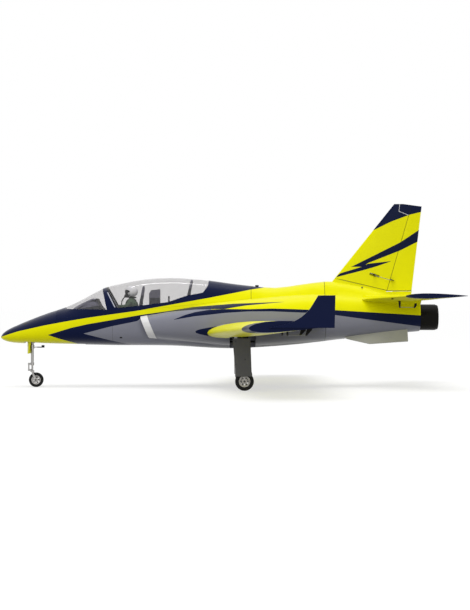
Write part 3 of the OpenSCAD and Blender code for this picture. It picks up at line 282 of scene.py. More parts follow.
def setting(name, description, value, **limits):
    return bpy.props.FloatProperty(name=name, description=description, default=value, min=0, **limits)


class JetPaint(bpy.types.PropertyGroup):
    yellow: colour("Yellow", "Main colour of the airframe", (0.745, 0.722, 0.0))
    navy: colour("Navy", "Stripes, fin cap, wingtips and canopy surround", (0.0028, 0.0065, 0.034))
    grey: colour("Grey", "Sides and belly", (0.212, 0.216, 0.258))
    # Painted highlight: the light streak over the wing root stands for light on the fuselage's side
    root_highlight: colour("Silver", "Streak over the wing root", (0.40, 0.40, 0.45))
    lip: colour("Intake lips", "Light lips of the intakes", (0.70, 0.695, 0.70))
    # Near-black painted shade for the inside of the bays, wells and ducts
    hollow_shade: colour("Lining", "Inside of the bays and wells", (0.012, 0.012, 0.013))
    bead: length("Foam bead", "Size of the beads that show faintly in the foam's skin", 3.0, 1, 6)


class JetFittings(bpy.types.PropertyGroup):
    screw_r: length("Screw radius", "Radius of the screw heads", 2.5, 1, 3)
    screw_h: length("Screw height", "How far the screw heads stand out", 0.8, 0.3, 2)
    groove: length("Tyre groove", "Depth of the grooves in the tyres", 0.6, 0.2, 1.2)


class JetStage(bpy.types.PropertyGroup):
    floor: colour("Floor", "Colour of the floor", (0.45, 0.45, 0.45))
    lift: setting("Floor lift", "How much whiter than lit the camera sees the floor", 0.55, max=1)
    sky: setting("Sky", "Strength of the world light", 0.62, max=2)
    key: setting("Key lamp", "Strength of the soft light from above", 1.25)
    strip: setting("Strip lamp", "Power of the strip overhead that the canopy shows", 17, unit="POWER")
    fill: setting("Fill lamp", "Power of the lamp by the camera", 34, unit="POWER")


# ---------------- materials


def add_node(tree, kind, inputs=(), **settings):
    """Adds a node, and gives its inputs, by name or number, a value or a link from another node."""
    node = tree.nodes.new(kind)
    for key, value in settings.items():
        setattr(node, key, value)
    for key, value in dict(inputs).items():
        feed(tree, node.inputs[key], value)
    return node


def feed(tree, socket, value):
    if isinstance(value, bpy.types.NodeSocket):
        tree.links.new(value, socket)
    else:
        socket.default_value = value


class Finish:
    """A material whose pattern is worked out from the piece's own coordinates."""

    def __init__(self, name, base=(0.5, 0.5, 0.5, 1), rough=0.5, metal=0.0, **sockets):
        self.material = bpy.data.materials.new(name)
        self.material.use_nodes = True
        self.tree = self.material.node_tree
        self.shader = self.tree.nodes["Principled BSDF"]
        self.set("Base Color", base)
        self.set("Roughness", rough)
        self.set("Metallic", metal)
        for key, value in sockets.items():
            self.set(key.replace("_", " "), value)
        self.place = self.add("ShaderNodeTexCoord").outputs["Object"]
        self.axes = None

    def set(self, name, value):
        feed(self.tree, self.shader.inputs[name], value)

    def add(self, kind, inputs=(), **settings):
        return add_node(self.tree, kind, inputs, **settings)

    def calc(self, operation, *values):
        return self.add("ShaderNodeMath", enumerate(values), operation=operation).outputs[0]

    def mix(self, share, low, high):
        """The colour low where the share is 0, and high where it is 1."""
        return self.add("ShaderNodeMix", {0: share, 6: low, 7: high}, data_type="RGBA").outputs[2]

    def xyz(self):
        """The point's x, its y counted from the centreline, and its z."""
        if self.axes is None:
            node = self.add("ShaderNodeSeparateXYZ", {0: self.place})
            self.axes = node.outputs[0], self.calc("ABSOLUTE", node.outputs[1]), node.outputs[2]
        return self.axes

    def noise(self, scale, detail=2.0, rough=0.5):
        inputs = {"Vector": self.place, "Scale": scale, "Detail": detail, "Roughness": rough}
        return self.add("ShaderNodeTexNoise", inputs).outputs[0]

    def cells(self, scale):
        inputs = {"Vector": self.place, "Scale": scale, "Smoothness": 0.6}
        return self.add("ShaderNodeTexVoronoi", inputs, feature="SMOOTH_F1").outputs[0]

    def waves(self, direction, scale, distortion, detail, detail_scale=1.0):
        """Bands across one direction, for grain and threads."""
        inputs = {
            "Vector": self.place, "Scale": scale, "Distortion": distortion, "Detail": detail,
            "Detail Scale": detail_scale,
        }
        node = self.add("ShaderNodeTexWave", inputs, wave_type="BANDS", bands_direction=direction)
        return node.outputs["Fac"]

    def edge_on(self, sharpness):
        """0 where the surface is seen from the front, rising to 1 where it is seen edge on."""
        node = self.add("ShaderNodeLayerWeight", {"Blend": 0.5})
        return self.calc("POWER", node.outputs["Facing"], sharpness)

    def above(self, line):
        """1 where the point lies above a side view line, else 0."""
        x, _, z = self.xyz()
        share = self.calc("DIVIDE", self.calc("SUBTRACT", x, LINE_FRONT), LINE_LENGTH)
        node = self.add("ShaderNodeFloatCurve", {"Value": share})
        points = node.mapping.curves[0].points
        for i, (px, pz) in enumerate(line):
            along = min(max((px * MM - LINE_FRONT) / LINE_LENGTH, 0), 1)
            up = min(max(pz * MM / LINE_HEIGHT, 0), 1)
            point = points[i] if i < 2 else points.new(along, up)
            point.location = (along, up)
            point.handle_type = "VECTOR"
        node.mapping.update()
        return self.calc("GREATER_THAN", z, self.calc("MULTIPLY", node.outputs[0], LINE_HEIGHT))

    def within(self, low, high):
        """1 inside a box, else 0."""
        share = 1.0
        for axis, a, b in zip(self.xyz(), low, high):
            for operation, limit in (("GREATER_THAN", a), ("LESS_THAN", b)):
                if limit is not None:
                    share = self.calc("MULTIPLY", self.calc(operation, axis, limit * MM), share)
        return share

    def behind(self, a, b):
        """Distance in metres behind the side view line from a to b."""
        run, rise = b[0] - a[0], b[1] - a[1]
        size = math.hypot(run, rise)
        x, _, z = self.xyz()
        along = self.calc("MULTIPLY", self.calc("SUBTRACT", x, a[0] * MM), -rise / size)
        up = self.calc("MULTIPLY", self.calc("SUBTRACT", z, a[1] * MM), run / size)
        return self.calc("ADD", along, up)

    def on_line(self, distance, half):
        """1 where a distance is less than half millimetres either way, else 0."""
        return self.calc("LESS_THAN", self.calc("ABSOLUTE", distance), half * MM)

    def both(self, *shares):
        return functools.reduce(lambda a, b: self.calc("MULTIPLY", a, b), shares)

    def either(self, *shares):
        return functools.reduce(lambda a, b: self.calc("MAXIMUM", a, b), shares)

    def between(self, foot, top):
        """1 between two side view lines, else 0."""
        return self.both(self.above(foot), self.calc("SUBTRACT", 1.0, self.above(top)))

    def horns(self, skin):
        """Blackens the control horns."""
        for box in HORNS:
            skin = self.mix(self.within(*box), skin, BLACK)
        return skin

    def bump(self, height, distance, strength=1.0):
        inputs = {"Height": height, "Distance": distance, "Strength": strength}
        self.set("Normal", self.add("ShaderNodeBump", inputs).outputs[0])

    def speckle(self, skin, amount, scale=40.0):
        """Breaks a colour up a little, as hand and dust do."""
        value = self.calc("MULTIPLY_ADD", self.noise(scale, 4.0), amount, 1.0 - amount / 2)
        return self.add("ShaderNodeHueSaturation", {"Value": value, "Color": skin}).outputs[0]


def foam_skin(finish, skin, bead, sheen=1.4):
    """Satin paint over moulded foam: faint beads, wandering gloss, and a sheen where it is seen edge on."""
    finish.set("Base Color", finish.speckle(skin, SPECKLE))
    finish.bump(finish.calc("ADD", finish.cells(1 / bead), finish.noise(30.0)), 0.00008, 0.35)
    finish.set("Roughness", finish.calc("MULTIPLY_ADD", finish.noise(18.0), 0.16, 0.30))
    finish.set("Specular IOR Level", finish.calc("MULTIPLY_ADD", finish.edge_on(2.0), sheen, 0.06))
    return finish.material


def root_streaks(f, sides, root_highlight, navy):
    """Lays the streak of painted highlight and the navy crescent over the wing's root."""
    x, _, z = f.xyz()
    lift = f.calc("SUBTRACT", z, ROOT_HEIGHT * MM)
    square = f.calc("MULTIPLY", lift, lift)
    streak = f.both(
        f.calc("GREATER_THAN", x, f.calc("MULTIPLY_ADD", square, STREAK_CURVE, STREAK_FRONT * MM)),
        f.within(*STREAK_BOX),
    )
    crescent = f.both(
        f.calc("GREATER_THAN", x, f.calc("MULTIPLY_ADD", square, CRESCENT_CURVE, CRESCENT_FRONT * MM)),
        f.within(*CRESCENT_BOX),
    )
    # The painted highlight fades out towards its rear end
    left = f.calc("DIVIDE", f.calc("SUBTRACT", STREAK_END * MM, x), STREAK_FADE * MM)
    fade = f.both(f.calc("SMOOTH_MIN", left, 1.0, 0.1), streak)
    sides = f.mix(f.calc("MAXIMUM", fade, 0.0), sides, root_highlight)
    return f.mix(crescent, sides, navy)


def windscreen_bow(f, skin):
    """Lays the bow's light edge line on the hatch, with black behind it."""
    across = f.behind(*BOW_LINE)
    black = f.both(f.within(*BOW_BOX), f.calc("GREATER_THAN", across, BOW_EDGE_HALF * MM))
    skin = f.mix(black, skin, BLACK)
    edge = f.both(f.within(*BOW_EDGE_BOX), f.on_line(across, BOW_EDGE_HALF))
    return f.mix(edge, skin, BOW_EDGE_LIGHT)


def fuselage_paint(paint, name="fuselage_paint", hatch=False):
    f = Finish(name)
    yellow, navy, grey = paint.yellow, paint.navy, paint.grey
    sides = f.mix(f.between(DART_FOOT, DART_TOP), grey, navy)
    rear = f.calc("GREATER_THAN", f.xyz()[0], DART_YELLOW_FRONT * MM)
    sides = f.mix(f.both(f.above(DART_TOP), rear), sides, yellow)
    sides = root_streaks(f, sides, paint.root_highlight, navy)
    band = f.mix(f.between(WEDGE_FOOT, BAND_FOOT), navy, sides)
    skin = f.mix(f.between(CHIN_TOP, STRIPE_FOOT), yellow, band)
    skin = f.mix(f.above(NAVY_TOP), skin, navy)
    seams = f.either(*(f.within(*box) for box in SEAMS))
    skin = f.mix(f.calc("MULTIPLY", seams, 0.75), skin, BLACK)
    if hatch:
        skin = windscreen_bow(f, skin)
    else:
        # Painted shade: near-black inside the hollows
        for box in SHADED_HOLLOWS:
            skin = f.mix(f.within(*box), skin, paint.hollow_shade)
        skin = f.mix(f.calc("MULTIPLY", f.within(*NOSE_SEAM), 0.35), skin, BLACK)
    return foam_skin(f, skin, paint.bead)


def wing_paint(paint):
    """Yellow panels with navy tips cut off on the slant."""
    f = Finish("wing_paint")
    x, y, _ = f.xyz()
    slant = f.calc("GREATER_THAN", f.calc("MULTIPLY_ADD", x, -TIP_SLANT, y), TIP_LINE * MM)
    tip = f.either(slant, f.calc("GREATER_THAN", y, WINGLET_ROOT * MM))
    skin = f.mix(tip, paint.yellow, paint.navy)
    # Painted shade: near-black inside the wheel well
    skin = f.mix(f.within(*WHEEL_WELL), skin, paint.hollow_shade)
    return foam_skin(f, f.horns(skin), paint.bead, 0.2)


def tail_paint(paint):
    """Yellow panels with navy ends."""
    f = Finish("tail_paint")
    tip = f.calc("GREATER_THAN", f.xyz()[1], TAIL_TIP * MM)
    skin = f.mix(tip, paint.yellow, paint.navy)
    return foam_skin(f, f.horns(skin), paint.bead, 0.2)


def fin_paint(paint):
    """Yellow with a navy cap and a navy flash, and thin dark foot and hinge lines."""
    f = Finish("fin_paint")
    flash = f.either(f.between(FIN_BAND_FOOT, FIN_BAND_TOP), f.between(FIN_DART_FOOT, FIN_DART_TOP))
    skin = f.mix(f.either(f.above(FIN_CAP), flash), paint.yellow, paint.navy)
    foot = f.calc("SUBTRACT", 1.0, f.above(FIN_FOOT))
    seams = f.either(foot, f.on_line(f.behind(*RUDDER_HINGE), HINGE_LINE_HALF))
    skin = f.mix(f.calc("MULTIPLY", seams, 0.7), skin, BLACK)
    return foam_skin(f, f.horns(skin), paint.bead)


def plain_foam(name, base, bead):
    return foam_skin(Finish(name), base, bead)


def moulded(name, base, rough=0.45, grain=900.0, depth=0.00003, gloss=0.5):
    """Moulded plastic with a fine grain."""
    f = Finish(name, rough=rough, Specular_IOR_Level=gloss)
    f.set("Base Color", f.speckle((*base, 1), 0.25, 60.0))
    f.bump(f.noise(grain, 3.0), depth, 0.5)
    return f.material


def metal(name, base, rough, blackened=None):
    """Machined metal with a few dull patches, and black inside a box where one is given."""
    f = Finish(name, metal=1.0)
    skin = (*base, 1)
    if blackened:
        skin = f.mix(f.within(*blackened), skin, BLACK)
    f.set("Base Color", f.speckle(skin, 0.18, 70.0))
    f.set("Roughness", f.calc("MULTIPLY_ADD", f.noise(45.0, 5.0), 0.24, rough - 0.08))
    f.bump(f.noise(1040.0), 0.00002, 0.4)
    return f.material


def tyre_rubber():
    """Black rubber with a little dust."""
    f = Finish("tyre_rubber", rough=0.72, Specular_IOR_Level=0.2)
    dust = f.calc("MULTIPLY", f.noise(120.0, 6.0, 0.65), 0.2)
    f.set("Base Color", f.mix(dust, (0.006, 0.006, 0.006, 1), (0.05, 0.048, 0.045, 1)))
    f.bump(f.noise(1500.0), 0.00004, 0.6)
    return f.material


def plywood():
    f = Finish("birch_plywood", rough=0.6)
    grain = f.waves("Y", 90.0, 6.0, 3.0, 1.5)
    f.set("Base Color", f.mix(grain, (0.50, 0.33, 0.16, 1), (0.64, 0.46, 0.26, 1)))
    f.bump(grain, 0.00004, 0.4)
    return f.material


def woven(name, base, scale):
    """Cloth or webbing: two crossing sets of threads."""
    f = Finish(name, rough=0.85)
    thread = f.either(f.waves("X", scale, 1.5, 1.0), f.waves("Z", scale, 1.5, 1.0))
    f.set("Base Color", f.mix(thread, (*(c * 0.55 for c in base), 1), (*base, 1)))
    f.bump(thread, 0.0001, 0.6)
    return f.material


def tub_plastic():
    """Moulded tub, darker in its lower parts, with a black edge on the instrument hood."""
    f = Finish("tub_plastic", rough=0.6)
    skin = f.mix(f.above(TUB_DARK), (0.012, 0.013, 0.020, 1), (0.125, 0.122, 0.165, 1))
    edge = f.calc("GREATER_THAN", f.behind(*HOOD_EDGE), HOOD_EDGE_FRONT * MM)
    skin = f.mix(f.both(f.within(*HOOD_BOX), edge), skin, BLACK)
    f.set("Base Color", f.speckle(skin, 0.2, 60.0))
    f.bump(f.noise(900.0, 3.0), 0.00003, 0.5)
    return f.material


def hub_plastic(name, body, holes, reach):
    """Wheel hub with a ring of lightening holes at a radius in millimetres and a middle bore, both painted
    near-black as painted shade in place of real holes.
    """
    low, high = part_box(body)
    middle = (low + high) / 2
    f = Finish(name, rough=0.4)
    x = f.calc("SUBTRACT", f.xyz()[0], middle.x)
    z = f.calc("SUBTRACT", f.xyz()[2], middle.z)
    out = f.calc("SQRT", f.calc("ADD", f.calc("MULTIPLY", x, x), f.calc("MULTIPLY", z, z)))
    turn = f.calc("COSINE", f.calc("MULTIPLY", f.calc("ARCTAN2", z, x), float(holes)))
    # Painted shade: near-black spots where the hub's holes and bore would be dark inside
    ring = f.on_line(f.calc("SUBTRACT", out, reach * MM), 2.6)
    hole = f.both(ring, f.calc("GREATER_THAN", turn, 0.15))
    dark = f.either(hole, f.calc("LESS_THAN", out, 3.6 * MM))
    skin = f.mix(dark, (0.62, 0.60, 0.58, 1), (0.035, 0.034, 0.033, 1))
    f.set("Base Color", f.speckle(skin, 0.1, 60.0))
    return f.material


def canopy_glass():
    """Clear shell: see-through from the front, and a mirror of the room towards its edges."""
    f = Finish("canopy_glass", base=(0.90, 0.90, 0.91, 1), rough=0.05, metal=1.0)
    clear = f.add("ShaderNodeBsdfTransparent", {"Color": (0.890, 0.886, 0.887, 1)})
    share = f.calc("MULTIPLY_ADD", f.edge_on(5.0), 0.45, 0.03)
    blend = f.add("ShaderNodeMixShader", {0: share, 1: clear.outputs[0], 2: f.shader.outputs[0]})
    feed(f.tree, f.tree.nodes["Material Output"].inputs["Surface"], blend.outputs[0])
    f.bump(f.noise(7.0, 2.0), 0.0006, 0.05)
    f.material.surface_render_method = "BLENDED"
    return f.material


# ---------------- pieces


def finish_of(name):
    """The finish that a CAD node already wears."""
    return NODES[name].data.materials[0]


def wear(names, material, crease=35.0):
    """Gives CAD nodes a finish, and smooth shading up to an edge of crease degrees."""
    for name in names:
        node = NODES[name]
        mesh = node.data
        mesh.materials.clear()
        mesh.materials.append(material)
        if "custom_normal" in mesh.attributes:
            mesh.attributes.remove(mesh.attributes["custom_normal"])
        mesh.polygons.foreach_set("use_smooth", [True] * len(mesh.polygons))
        weld = node.modifiers.new("Join the facets", "WELD")
        weld.merge_threshold = 0.02 * MM
        split = node.modifiers.new("Keep the edges", "EDGE_SPLIT")
        split.split_angle = math.radians(crease)
        split.use_edge_sharp = False


def piece(name, shape, material, body, replaces=(), smooth=True, levels=0, bevel=0.0):
    """Makes an object at the origin, with its finish and body, from a mesh or a bmesh in millimetres."""
    mesh = shape
    if isinstance(shape, bmesh.types.BMesh):
        bmesh.ops.scale(shape, vec=(MM, MM, MM), verts=shape.verts)
        bmesh.ops.remove_doubles(shape, verts=shape.verts, dist=0.001 * MM)
        bmesh.ops.recalc_face_normals(shape, faces=shape.faces)
        mesh = bpy.data.meshes.new(name)
        shape.to_mesh(mesh)
        shape.free()
    mesh.name = name
    if material:
        mesh.materials.clear()
        mesh.materials.append(material)
    mesh.polygons.foreach_set("use_smooth", [smooth] * len(mesh.polygons))
    made = bpy.data.objects.new(name, mesh)
    bpy.context.scene.collection.objects.link(made)
    if bevel:
        modifier = made.modifiers.new("Bevel", "BEVEL")
        modifier.width = bevel * MM
        modifier.segments = 2
        modifier.harden_normals = False
    if levels:
        modifier = made.modifiers.new("Smooth", "SUBSURF")
        modifier.levels = modifier.render_levels = levels
    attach(made, body)
    if replaces:
        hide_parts(*replaces)
    return made


def turns(count, start=0.0):
    """Angles of count equal steps round a circle."""
    return [math.tau * (k + start) / count for k in range(count)]


def squared(value, exponent):
    """Raises a sine or cosine to a power below 1 and keeps its sign, which squares a circle off."""
    return math.copysign(abs(value) ** exponent, value)


def skin_rings(bm, rings, closed=True, ends=True):
    """Joins rows of points into a skin."""
    rows = [[bm.verts.new(p) for p in ring] for ring in rings]
    n = len(rows[0])
    for a, b in zip(rows, rows[1:]):
        for i in range(n if closed else n - 1):
            j = (i + 1) % n
            bm.faces.new((a[i], a[j], b[j], b[i]))
    if ends and closed:
        bm.faces.new(rows[0])
        bm.faces.new(rows[-1])


def ball(bm, centre, size, segments, squash):
    """An egg: a sphere whose radius is the size, squashed by a share on each axis."""
    made = bmesh.ops.create_uvsphere(bm, u_segments=segments, v_segments=segments // 2, radius=1)
    for v in made["verts"]:
        v.co = Vector(centre) + Vector([v.co[i] * size * squash[i] for i in range(3)])


def tube(bm, points, radius, sides, taper=1.0):
    """A round tube along points, for hoses, limbs and straps. It thins to a share of its radius."""
    last = len(points) - 1
    rings = []
    for i, p in enumerate(points):
        ahead = (points[min(i + 1, last)] - points[max(i - 1, 0)]).normalized()
        side = ahead.orthogonal().normalized() if i == 0 else (side - ahead * side.dot(ahead)).normalized()
        up = ahead.cross(side)
        r = radius * (1 + (taper - 1) * i / last)
        rings.append([p + (side * math.cos(a) + up * math.sin(a)) * r for a in turns(sides)])
    skin_rings(bm, rings)


def bend(points, steps=8):
    """Smooth curve through points, as a list of points."""
    points = [Vector(p) for p in points]
    ends = [points[0] * 2 - points[1], *points, points[-1] * 2 - points[-2]]
    made = []
    for i in range(len(points) - 1):
        a, b, c, d = ends[i:i + 4]
        first, second, third = c - a, 2 * a - 5 * b + 4 * c - d, 3 * b - a - 3 * c + d
        for k in range(steps):
            t = k / steps
            made.append(b + 0.5 * (first * t + second * t ** 2 + third * t ** 3))
    return [*made, points[-1]]


def mirror(bm):
    """Adds the mirror image across the centreline."""
    geometry = bmesh.ops.duplicate(bm, geom=[*bm.verts, *bm.edges, *bm.faces])["geom"]
    for v in geometry:
        if isinstance(v, bmesh.types.BMVert):
            v.co.y = -v.co.y
    bmesh.ops.reverse_faces(bm, faces=[g for g in geometry if isinstance(g, bmesh.types.BMFace)])


# ---------------- node tree that repeats a screw


def new_tree(name, inputs):
    """An empty tree with named inputs, and its input and output nodes."""
    tree = bpy.data.node_groups.new(name, "GeometryNodeTree")
    tree.interface.new_socket("Geometry", in_out="INPUT", socket_type="NodeSocketGeometry")
    tree.interface.new_socket("Geometry", in_out="OUTPUT", socket_type="NodeSocketGeometry")
    for label, kind, default in inputs:
        socket = tree.interface.new_socket(label, in_out="INPUT", socket_type=kind)
        if default is not None:
            socket.default_value = default
    return tree, tree.nodes.new("NodeGroupInput"), tree.nodes.new("NodeGroupOutput")


def run_tree(tree, mesh, values):
    """Runs a tree on a mesh and returns the result as a plain mesh."""
    carrier = bpy.data.objects.new("carrier", mesh)
    bpy.context.scene.collection.objects.link(carrier)
    modifier = carrier.modifiers.new("Tree", "NODES")
    modifier.node_group = tree
    for item in tree.interface.items_tree:
        if item.item_type == "SOCKET" and item.in_out == "INPUT" and item.name in values:
            modifier[item.identifier] = values[item.name]
    evaluated = carrier.evaluated_get(bpy.context.evaluated_depsgraph_get())
    made = bpy.data.meshes.new_from_object(evaluated)
    carrier.modifiers.clear()
    bpy.data.objects.remove(carrier)
    return made


def screw_tree():
    """A round head with a six-sided socket on every point, turned to the point's aim."""
    tree, given, out = new_tree("Screw heads", [
        ("Radius", "NodeSocketFloat", 1.8 * MM),
        ("Height", "NodeSocketFloat", 0.8 * MM),
        ("Finish", "NodeSocketMaterial", None),
    ])
    radius, height = given.outputs["Radius"], given.outputs["Height"]
    half = add_node(tree, "ShaderNodeMath", {0: radius, 1: 0.5}, operation="MULTIPLY").outputs[0]
    head = add_node(tree, "GeometryNodeMeshCylinder", {"Vertices": 20, "Radius": radius, "Depth": height})
    socket = add_node(tree, "GeometryNodeMeshCylinder", {"Vertices": 6, "Radius": half, "Depth": height})
    lift = add_node(tree, "ShaderNodeCombineXYZ", {"Z": half})
    raised = add_node(tree, "GeometryNodeTransform", {
        "Geometry": socket.outputs["Mesh"], "Translation": lift.outputs[0],
    })
    cut = add_node(tree, "GeometryNodeMeshBoolean", {
        "Mesh 1": head.outputs["Mesh"], "Mesh 2": raised.outputs["Geometry"],
    }, operation="DIFFERENCE")
    aim = add_node(tree, "GeometryNodeInputNamedAttribute", {"Name": "aim"}, data_type="FLOAT_VECTOR")
    turn = add_node(tree, "FunctionNodeAlignRotationToVector", {"Vector": aim.outputs[0]}, axis="Z")
    points = add_node(tree, "GeometryNodeMeshToPoints", {"Mesh": given.outputs["Geometry"]})
    place = add_node(tree, "GeometryNodeInstanceOnPoints", {
        "Points": points.outputs[0], "Instance": cut.outputs["Mesh"], "Rotation": turn.outputs["Rotation"],
    })
    real = add_node(tree, "GeometryNodeRealizeInstances", {0: place.outputs[0]})
    paint = add_node(tree, "GeometryNodeSetMaterial", {
        "Geometry": real.outputs[0], "Material": given.outputs["Finish"],
    })
    tree.links.new(paint.outputs[0], out.inputs[0])
    return tree


def points_mesh(name, spots):
    """Loose points, each with the direction it aims in."""
    mesh = bpy.data.meshes.new(name)
    mesh.from_pydata([tuple(c * MM for c in p) for p, _ in spots], [], [])
    aim = mesh.attributes.new("aim", "FLOAT_VECTOR", "POINT")
    aim.data.foreach_set("vector", [c for _, a in spots for c in a])
    return mesh


# ---------------- airframe


def winglet_skins(paint):
    """The curved front edge of both winglets."""
    line = [*bend([(x, 0, z) for x, z in WINGLET_EDGE], 5), *(Vector((x, 0, z)) for x, z in WINGLET_REAR)]
    bm = bmesh.new()
    skin_rings(bm, [[(p.x, y, p.z) for p in line] for y in WINGLET_FACES])
    mirror(bm)
    finish = plain_foam("winglet_paint", paint.navy, paint.bead)
    piece("winglet_skins", bm, finish, "airframe", smooth=False, bevel=WINGLET_ROUND)


def rudder_fairing():
    """The fairing on the tail cone, under the rudder."""
    bm = bmesh.new()
    for foot, top, front in FAIRING_STEPS:
        skin_rings(bm, [[(x, y, z) for x, y in (*FAIRING_TAIL, *front)] for z in (foot, top)])
    piece("rudder_foot", bm, finish_of("fuselage_rear"), "airframe", smooth=False)


class JET_OT_airframe(bpy.types.Operator):
    """Paint the airframe and its control surfaces, and add the winglet skins and the rudder's fairing"""

    bl_idname = "jet.airframe"
    bl_label = "Paint the airframe"
    bl_options = {"REGISTER", "UNDO"}

    def execute(self, context):
        paint = context.scene.jet_paint
        wear(["fuselage_front", "fuselage_rear"], fuselage_paint(paint), 38)
        wear(["hatch_frame"], fuselage_paint(paint, "hatch_paint", hatch=True), 38)
        wear([f"{s}_{n}" for s in SIDES for n in ("wing", "aileron", "flap")], wing_paint(paint), 30)
        wear([f"{s}_{n}" for s in SIDES for n in ("stabiliser", "elevator")], tail_paint(paint), 30)
        wear(["fin", "rudder"], fin_paint(paint), 30)
        wear(["intake_lips"], plain_foam("lip_paint", paint.lip, paint.bead), 30)
        wear(["ventral_fins"], plain_foam("ventral_paint", (0.36, 0.36, 0.31, 1), paint.bead), 30)
        wear(["nose_door"], plain_foam("door_paint", paint.yellow, paint.bead), 30)
        winglet_skins(paint)
        rudder_fairing()
        return {"FINISHED"}


# ---------------- fittings


def link_plates(finish):
    """Two plates beside the lugs of the nose leg, carried by the lower lug."""
    low, high = LINK_EYES
    ring = []
    for a in turns(24):
        eye = high if math.sin(a) > 0 else low
        ring.append((LINK_X + LINK_ROUND * math.cos(a), eye + LINK_ROUND * math.sin(a)))
    bm = bmesh.new()
    skin_rings(bm, [[(x, y, z) for x, z in ring] for y in LINK_FACES])
    mirror(bm)
    piece("scissor_link", bm, finish, "nose_fork", smooth=False)


class JET_OT_fittings(bpy.types.Operator):
    """Finish the metal, plastic and wooden fittings, and add the link plates of the nose leg"""

    bl_idname = "jet.fittings"
    bl_label = "Finish the fittings"
    bl_options = {"REGISTER", "UNDO"}

    def execute(self, context):
        controls = [f"{s}_{n}" for s in SIDES for n in ("aileron", "flap", "elevator")] + ["rudder"]
        black = moulded("black_nylon", (0.010, 0.010, 0.011), 0.5, gloss=0.15)
        wear(["fan_housing", "servos", "hatch_latch", *(f"{n}_arm" for n in controls)], black)
        wear([f"{n}_rod" for n in controls], metal("steel_wire", (0.20, 0.20, 0.20), 0.3))
        wear(["fan_rotor"], moulded("fan_plastic", (0.02, 0.02, 0.022), 0.35))
        wear(["exhaust_pipe"], moulded("nozzle_plastic", (0.005, 0.0045, 0.004), 0.42, gloss=0.07))
        wear(["electronics", "wing_carrier"], plywood())
        wear(["spar_tubes"], moulded("carbon_tube", (0.01, 0.01, 0.011), 0.3))
        wear(["flight_battery"], moulded("shrink_wrap", (0.01, 0.03, 0.12), 0.22, 60.0, 0.0002))
        wear(["retract_units"], metal("dark_anodised", (0.06, 0.06, 0.065), 0.42))
        aluminium = metal("bare_aluminium", (0.335, 0.327, 0.318), 0.36, TILLER_END)
        wear(["nose_trunnion", "nose_strut", "nose_fork"], aluminium)
        wear([f"{s}_{n}" for s in SIDES for n in ("leg", "link")], aluminium)
        wear(["left_wheel", "right_wheel"], hub_plastic("hub_plastic", "left_wheel", 6, 10.5))
        wear(["nose_wheel"], hub_plastic("nose_hub_plastic", "nose_wheel", 5, 8.5))
        wear([f"{s}_leg_cover" for s in SIDES], moulded("cover_plastic", (0.054, 0.053, 0.052)))
        wear(["canopy_glass"], canopy_glass())
        wear(["cockpit_tub"], tub_plastic())
        link_plates(aluminium)
        return {"FINISHED"}


# ---------------- cockpit


def hood_ring(x, top, half, lean):
    """Half an oval over the hood's foot, leaning forward as it rises."""
    ring = []
    for k in range(25):
        a = math.pi * k / 24
        z = HOOD_FOOT + (top - HOOD_FOOT) * math.sin(a) ** 0.9
        back = lean * (top - z) / (top - HOOD_FOOT)
        ring.append((x + back, half * squared(math.cos(a), 0.9), z))
    return ring


def cushion_ring(z, front, rear, half):
    """A level oval with rounded corners."""
    middle, reach = (front + rear) / 2, (rear - front) / 2
    return [
        (middle + reach * squared(math.cos(a), 0.5), half * squared(math.sin(a), 0.5), z)
        for a in turns(24, 0.5)
    ]


class JET_OT_cockpit(bpy.types.Operator):
    """Make the instrument hood and the cushions of the two seats"""

    bl_idname = "jet.cockpit"
    bl_label = "Fit out the cockpit"
    bl_options = {"REGISTER", "UNDO"}

    def execute(self, context):
        shapes = {"instrument_hood": [hood_ring(*section) for section in HOOD_SECTIONS]}
        for name, sections in CUSHIONS.items():
            shapes[name] = [cushion_ring(*section) for section in sections]
        for name, rings in shapes.items():
            bm = bmesh.new()
            skin_rings(bm, rings)
            piece(name, bm, finish_of("cockpit_tub"), "hatch")
        return {"FINISHED"}


# ---------------- tyres and screws


def tyre_outline(radius, inner, groove):
    """Section of a grooved tyre from one bead to the other: radius, and place in shares of the width."""
    bead = [(inner, 0.42), (inner + 1.5, 0.495), (radius * 0.78, 0.5), (radius * 0.90, 0.44)]
    crown = []
    for share in GROOVES:
        top = radius * (1 - 0.16 * share * share)
        crown += [(top - groove * depth, share + step) for step, depth in GROOVE_EDGES]
    return [*((r, -share) for r, share in bead), *crown, *reversed(bead)]


class JET_OT_tyres(bpy.types.Operator):
    """Make the rubber tyres with their grooves"""

    bl_idname = "jet.tyres"
    bl_label = "Make the tyres"
    bl_options = {"REGISTER", "UNDO"}

    def execute(self, context):
        groove = context.scene.jet_fittings.groove / MM
        finish = tyre_rubber()
        for place in (*SIDES, "nose"):
            name, body = f"{place}_tyre", f"{place}_wheel"
            low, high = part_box(name)
            centre, size = (low + high) / 2 / MM, (high - low) / MM
            hub_low, hub_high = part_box(body)
            inner = (hub_high.z - hub_low.z) / 2 / MM + 0.1
            outline = tyre_outline(size.z / 2, inner, groove)
            rings = []
            for a in turns(72):
                c, t = math.cos(a), math.sin(a)
                rings.append([centre + Vector((r * c, share * size.y, r * t)) for r, share in outline])
            bm = bmesh.new()
            skin_rings(bm, [*rings, rings[0]], ends=False)
            piece(f"{name}_rubber", bm, finish, body, [name])
        return {"FINISHED"}


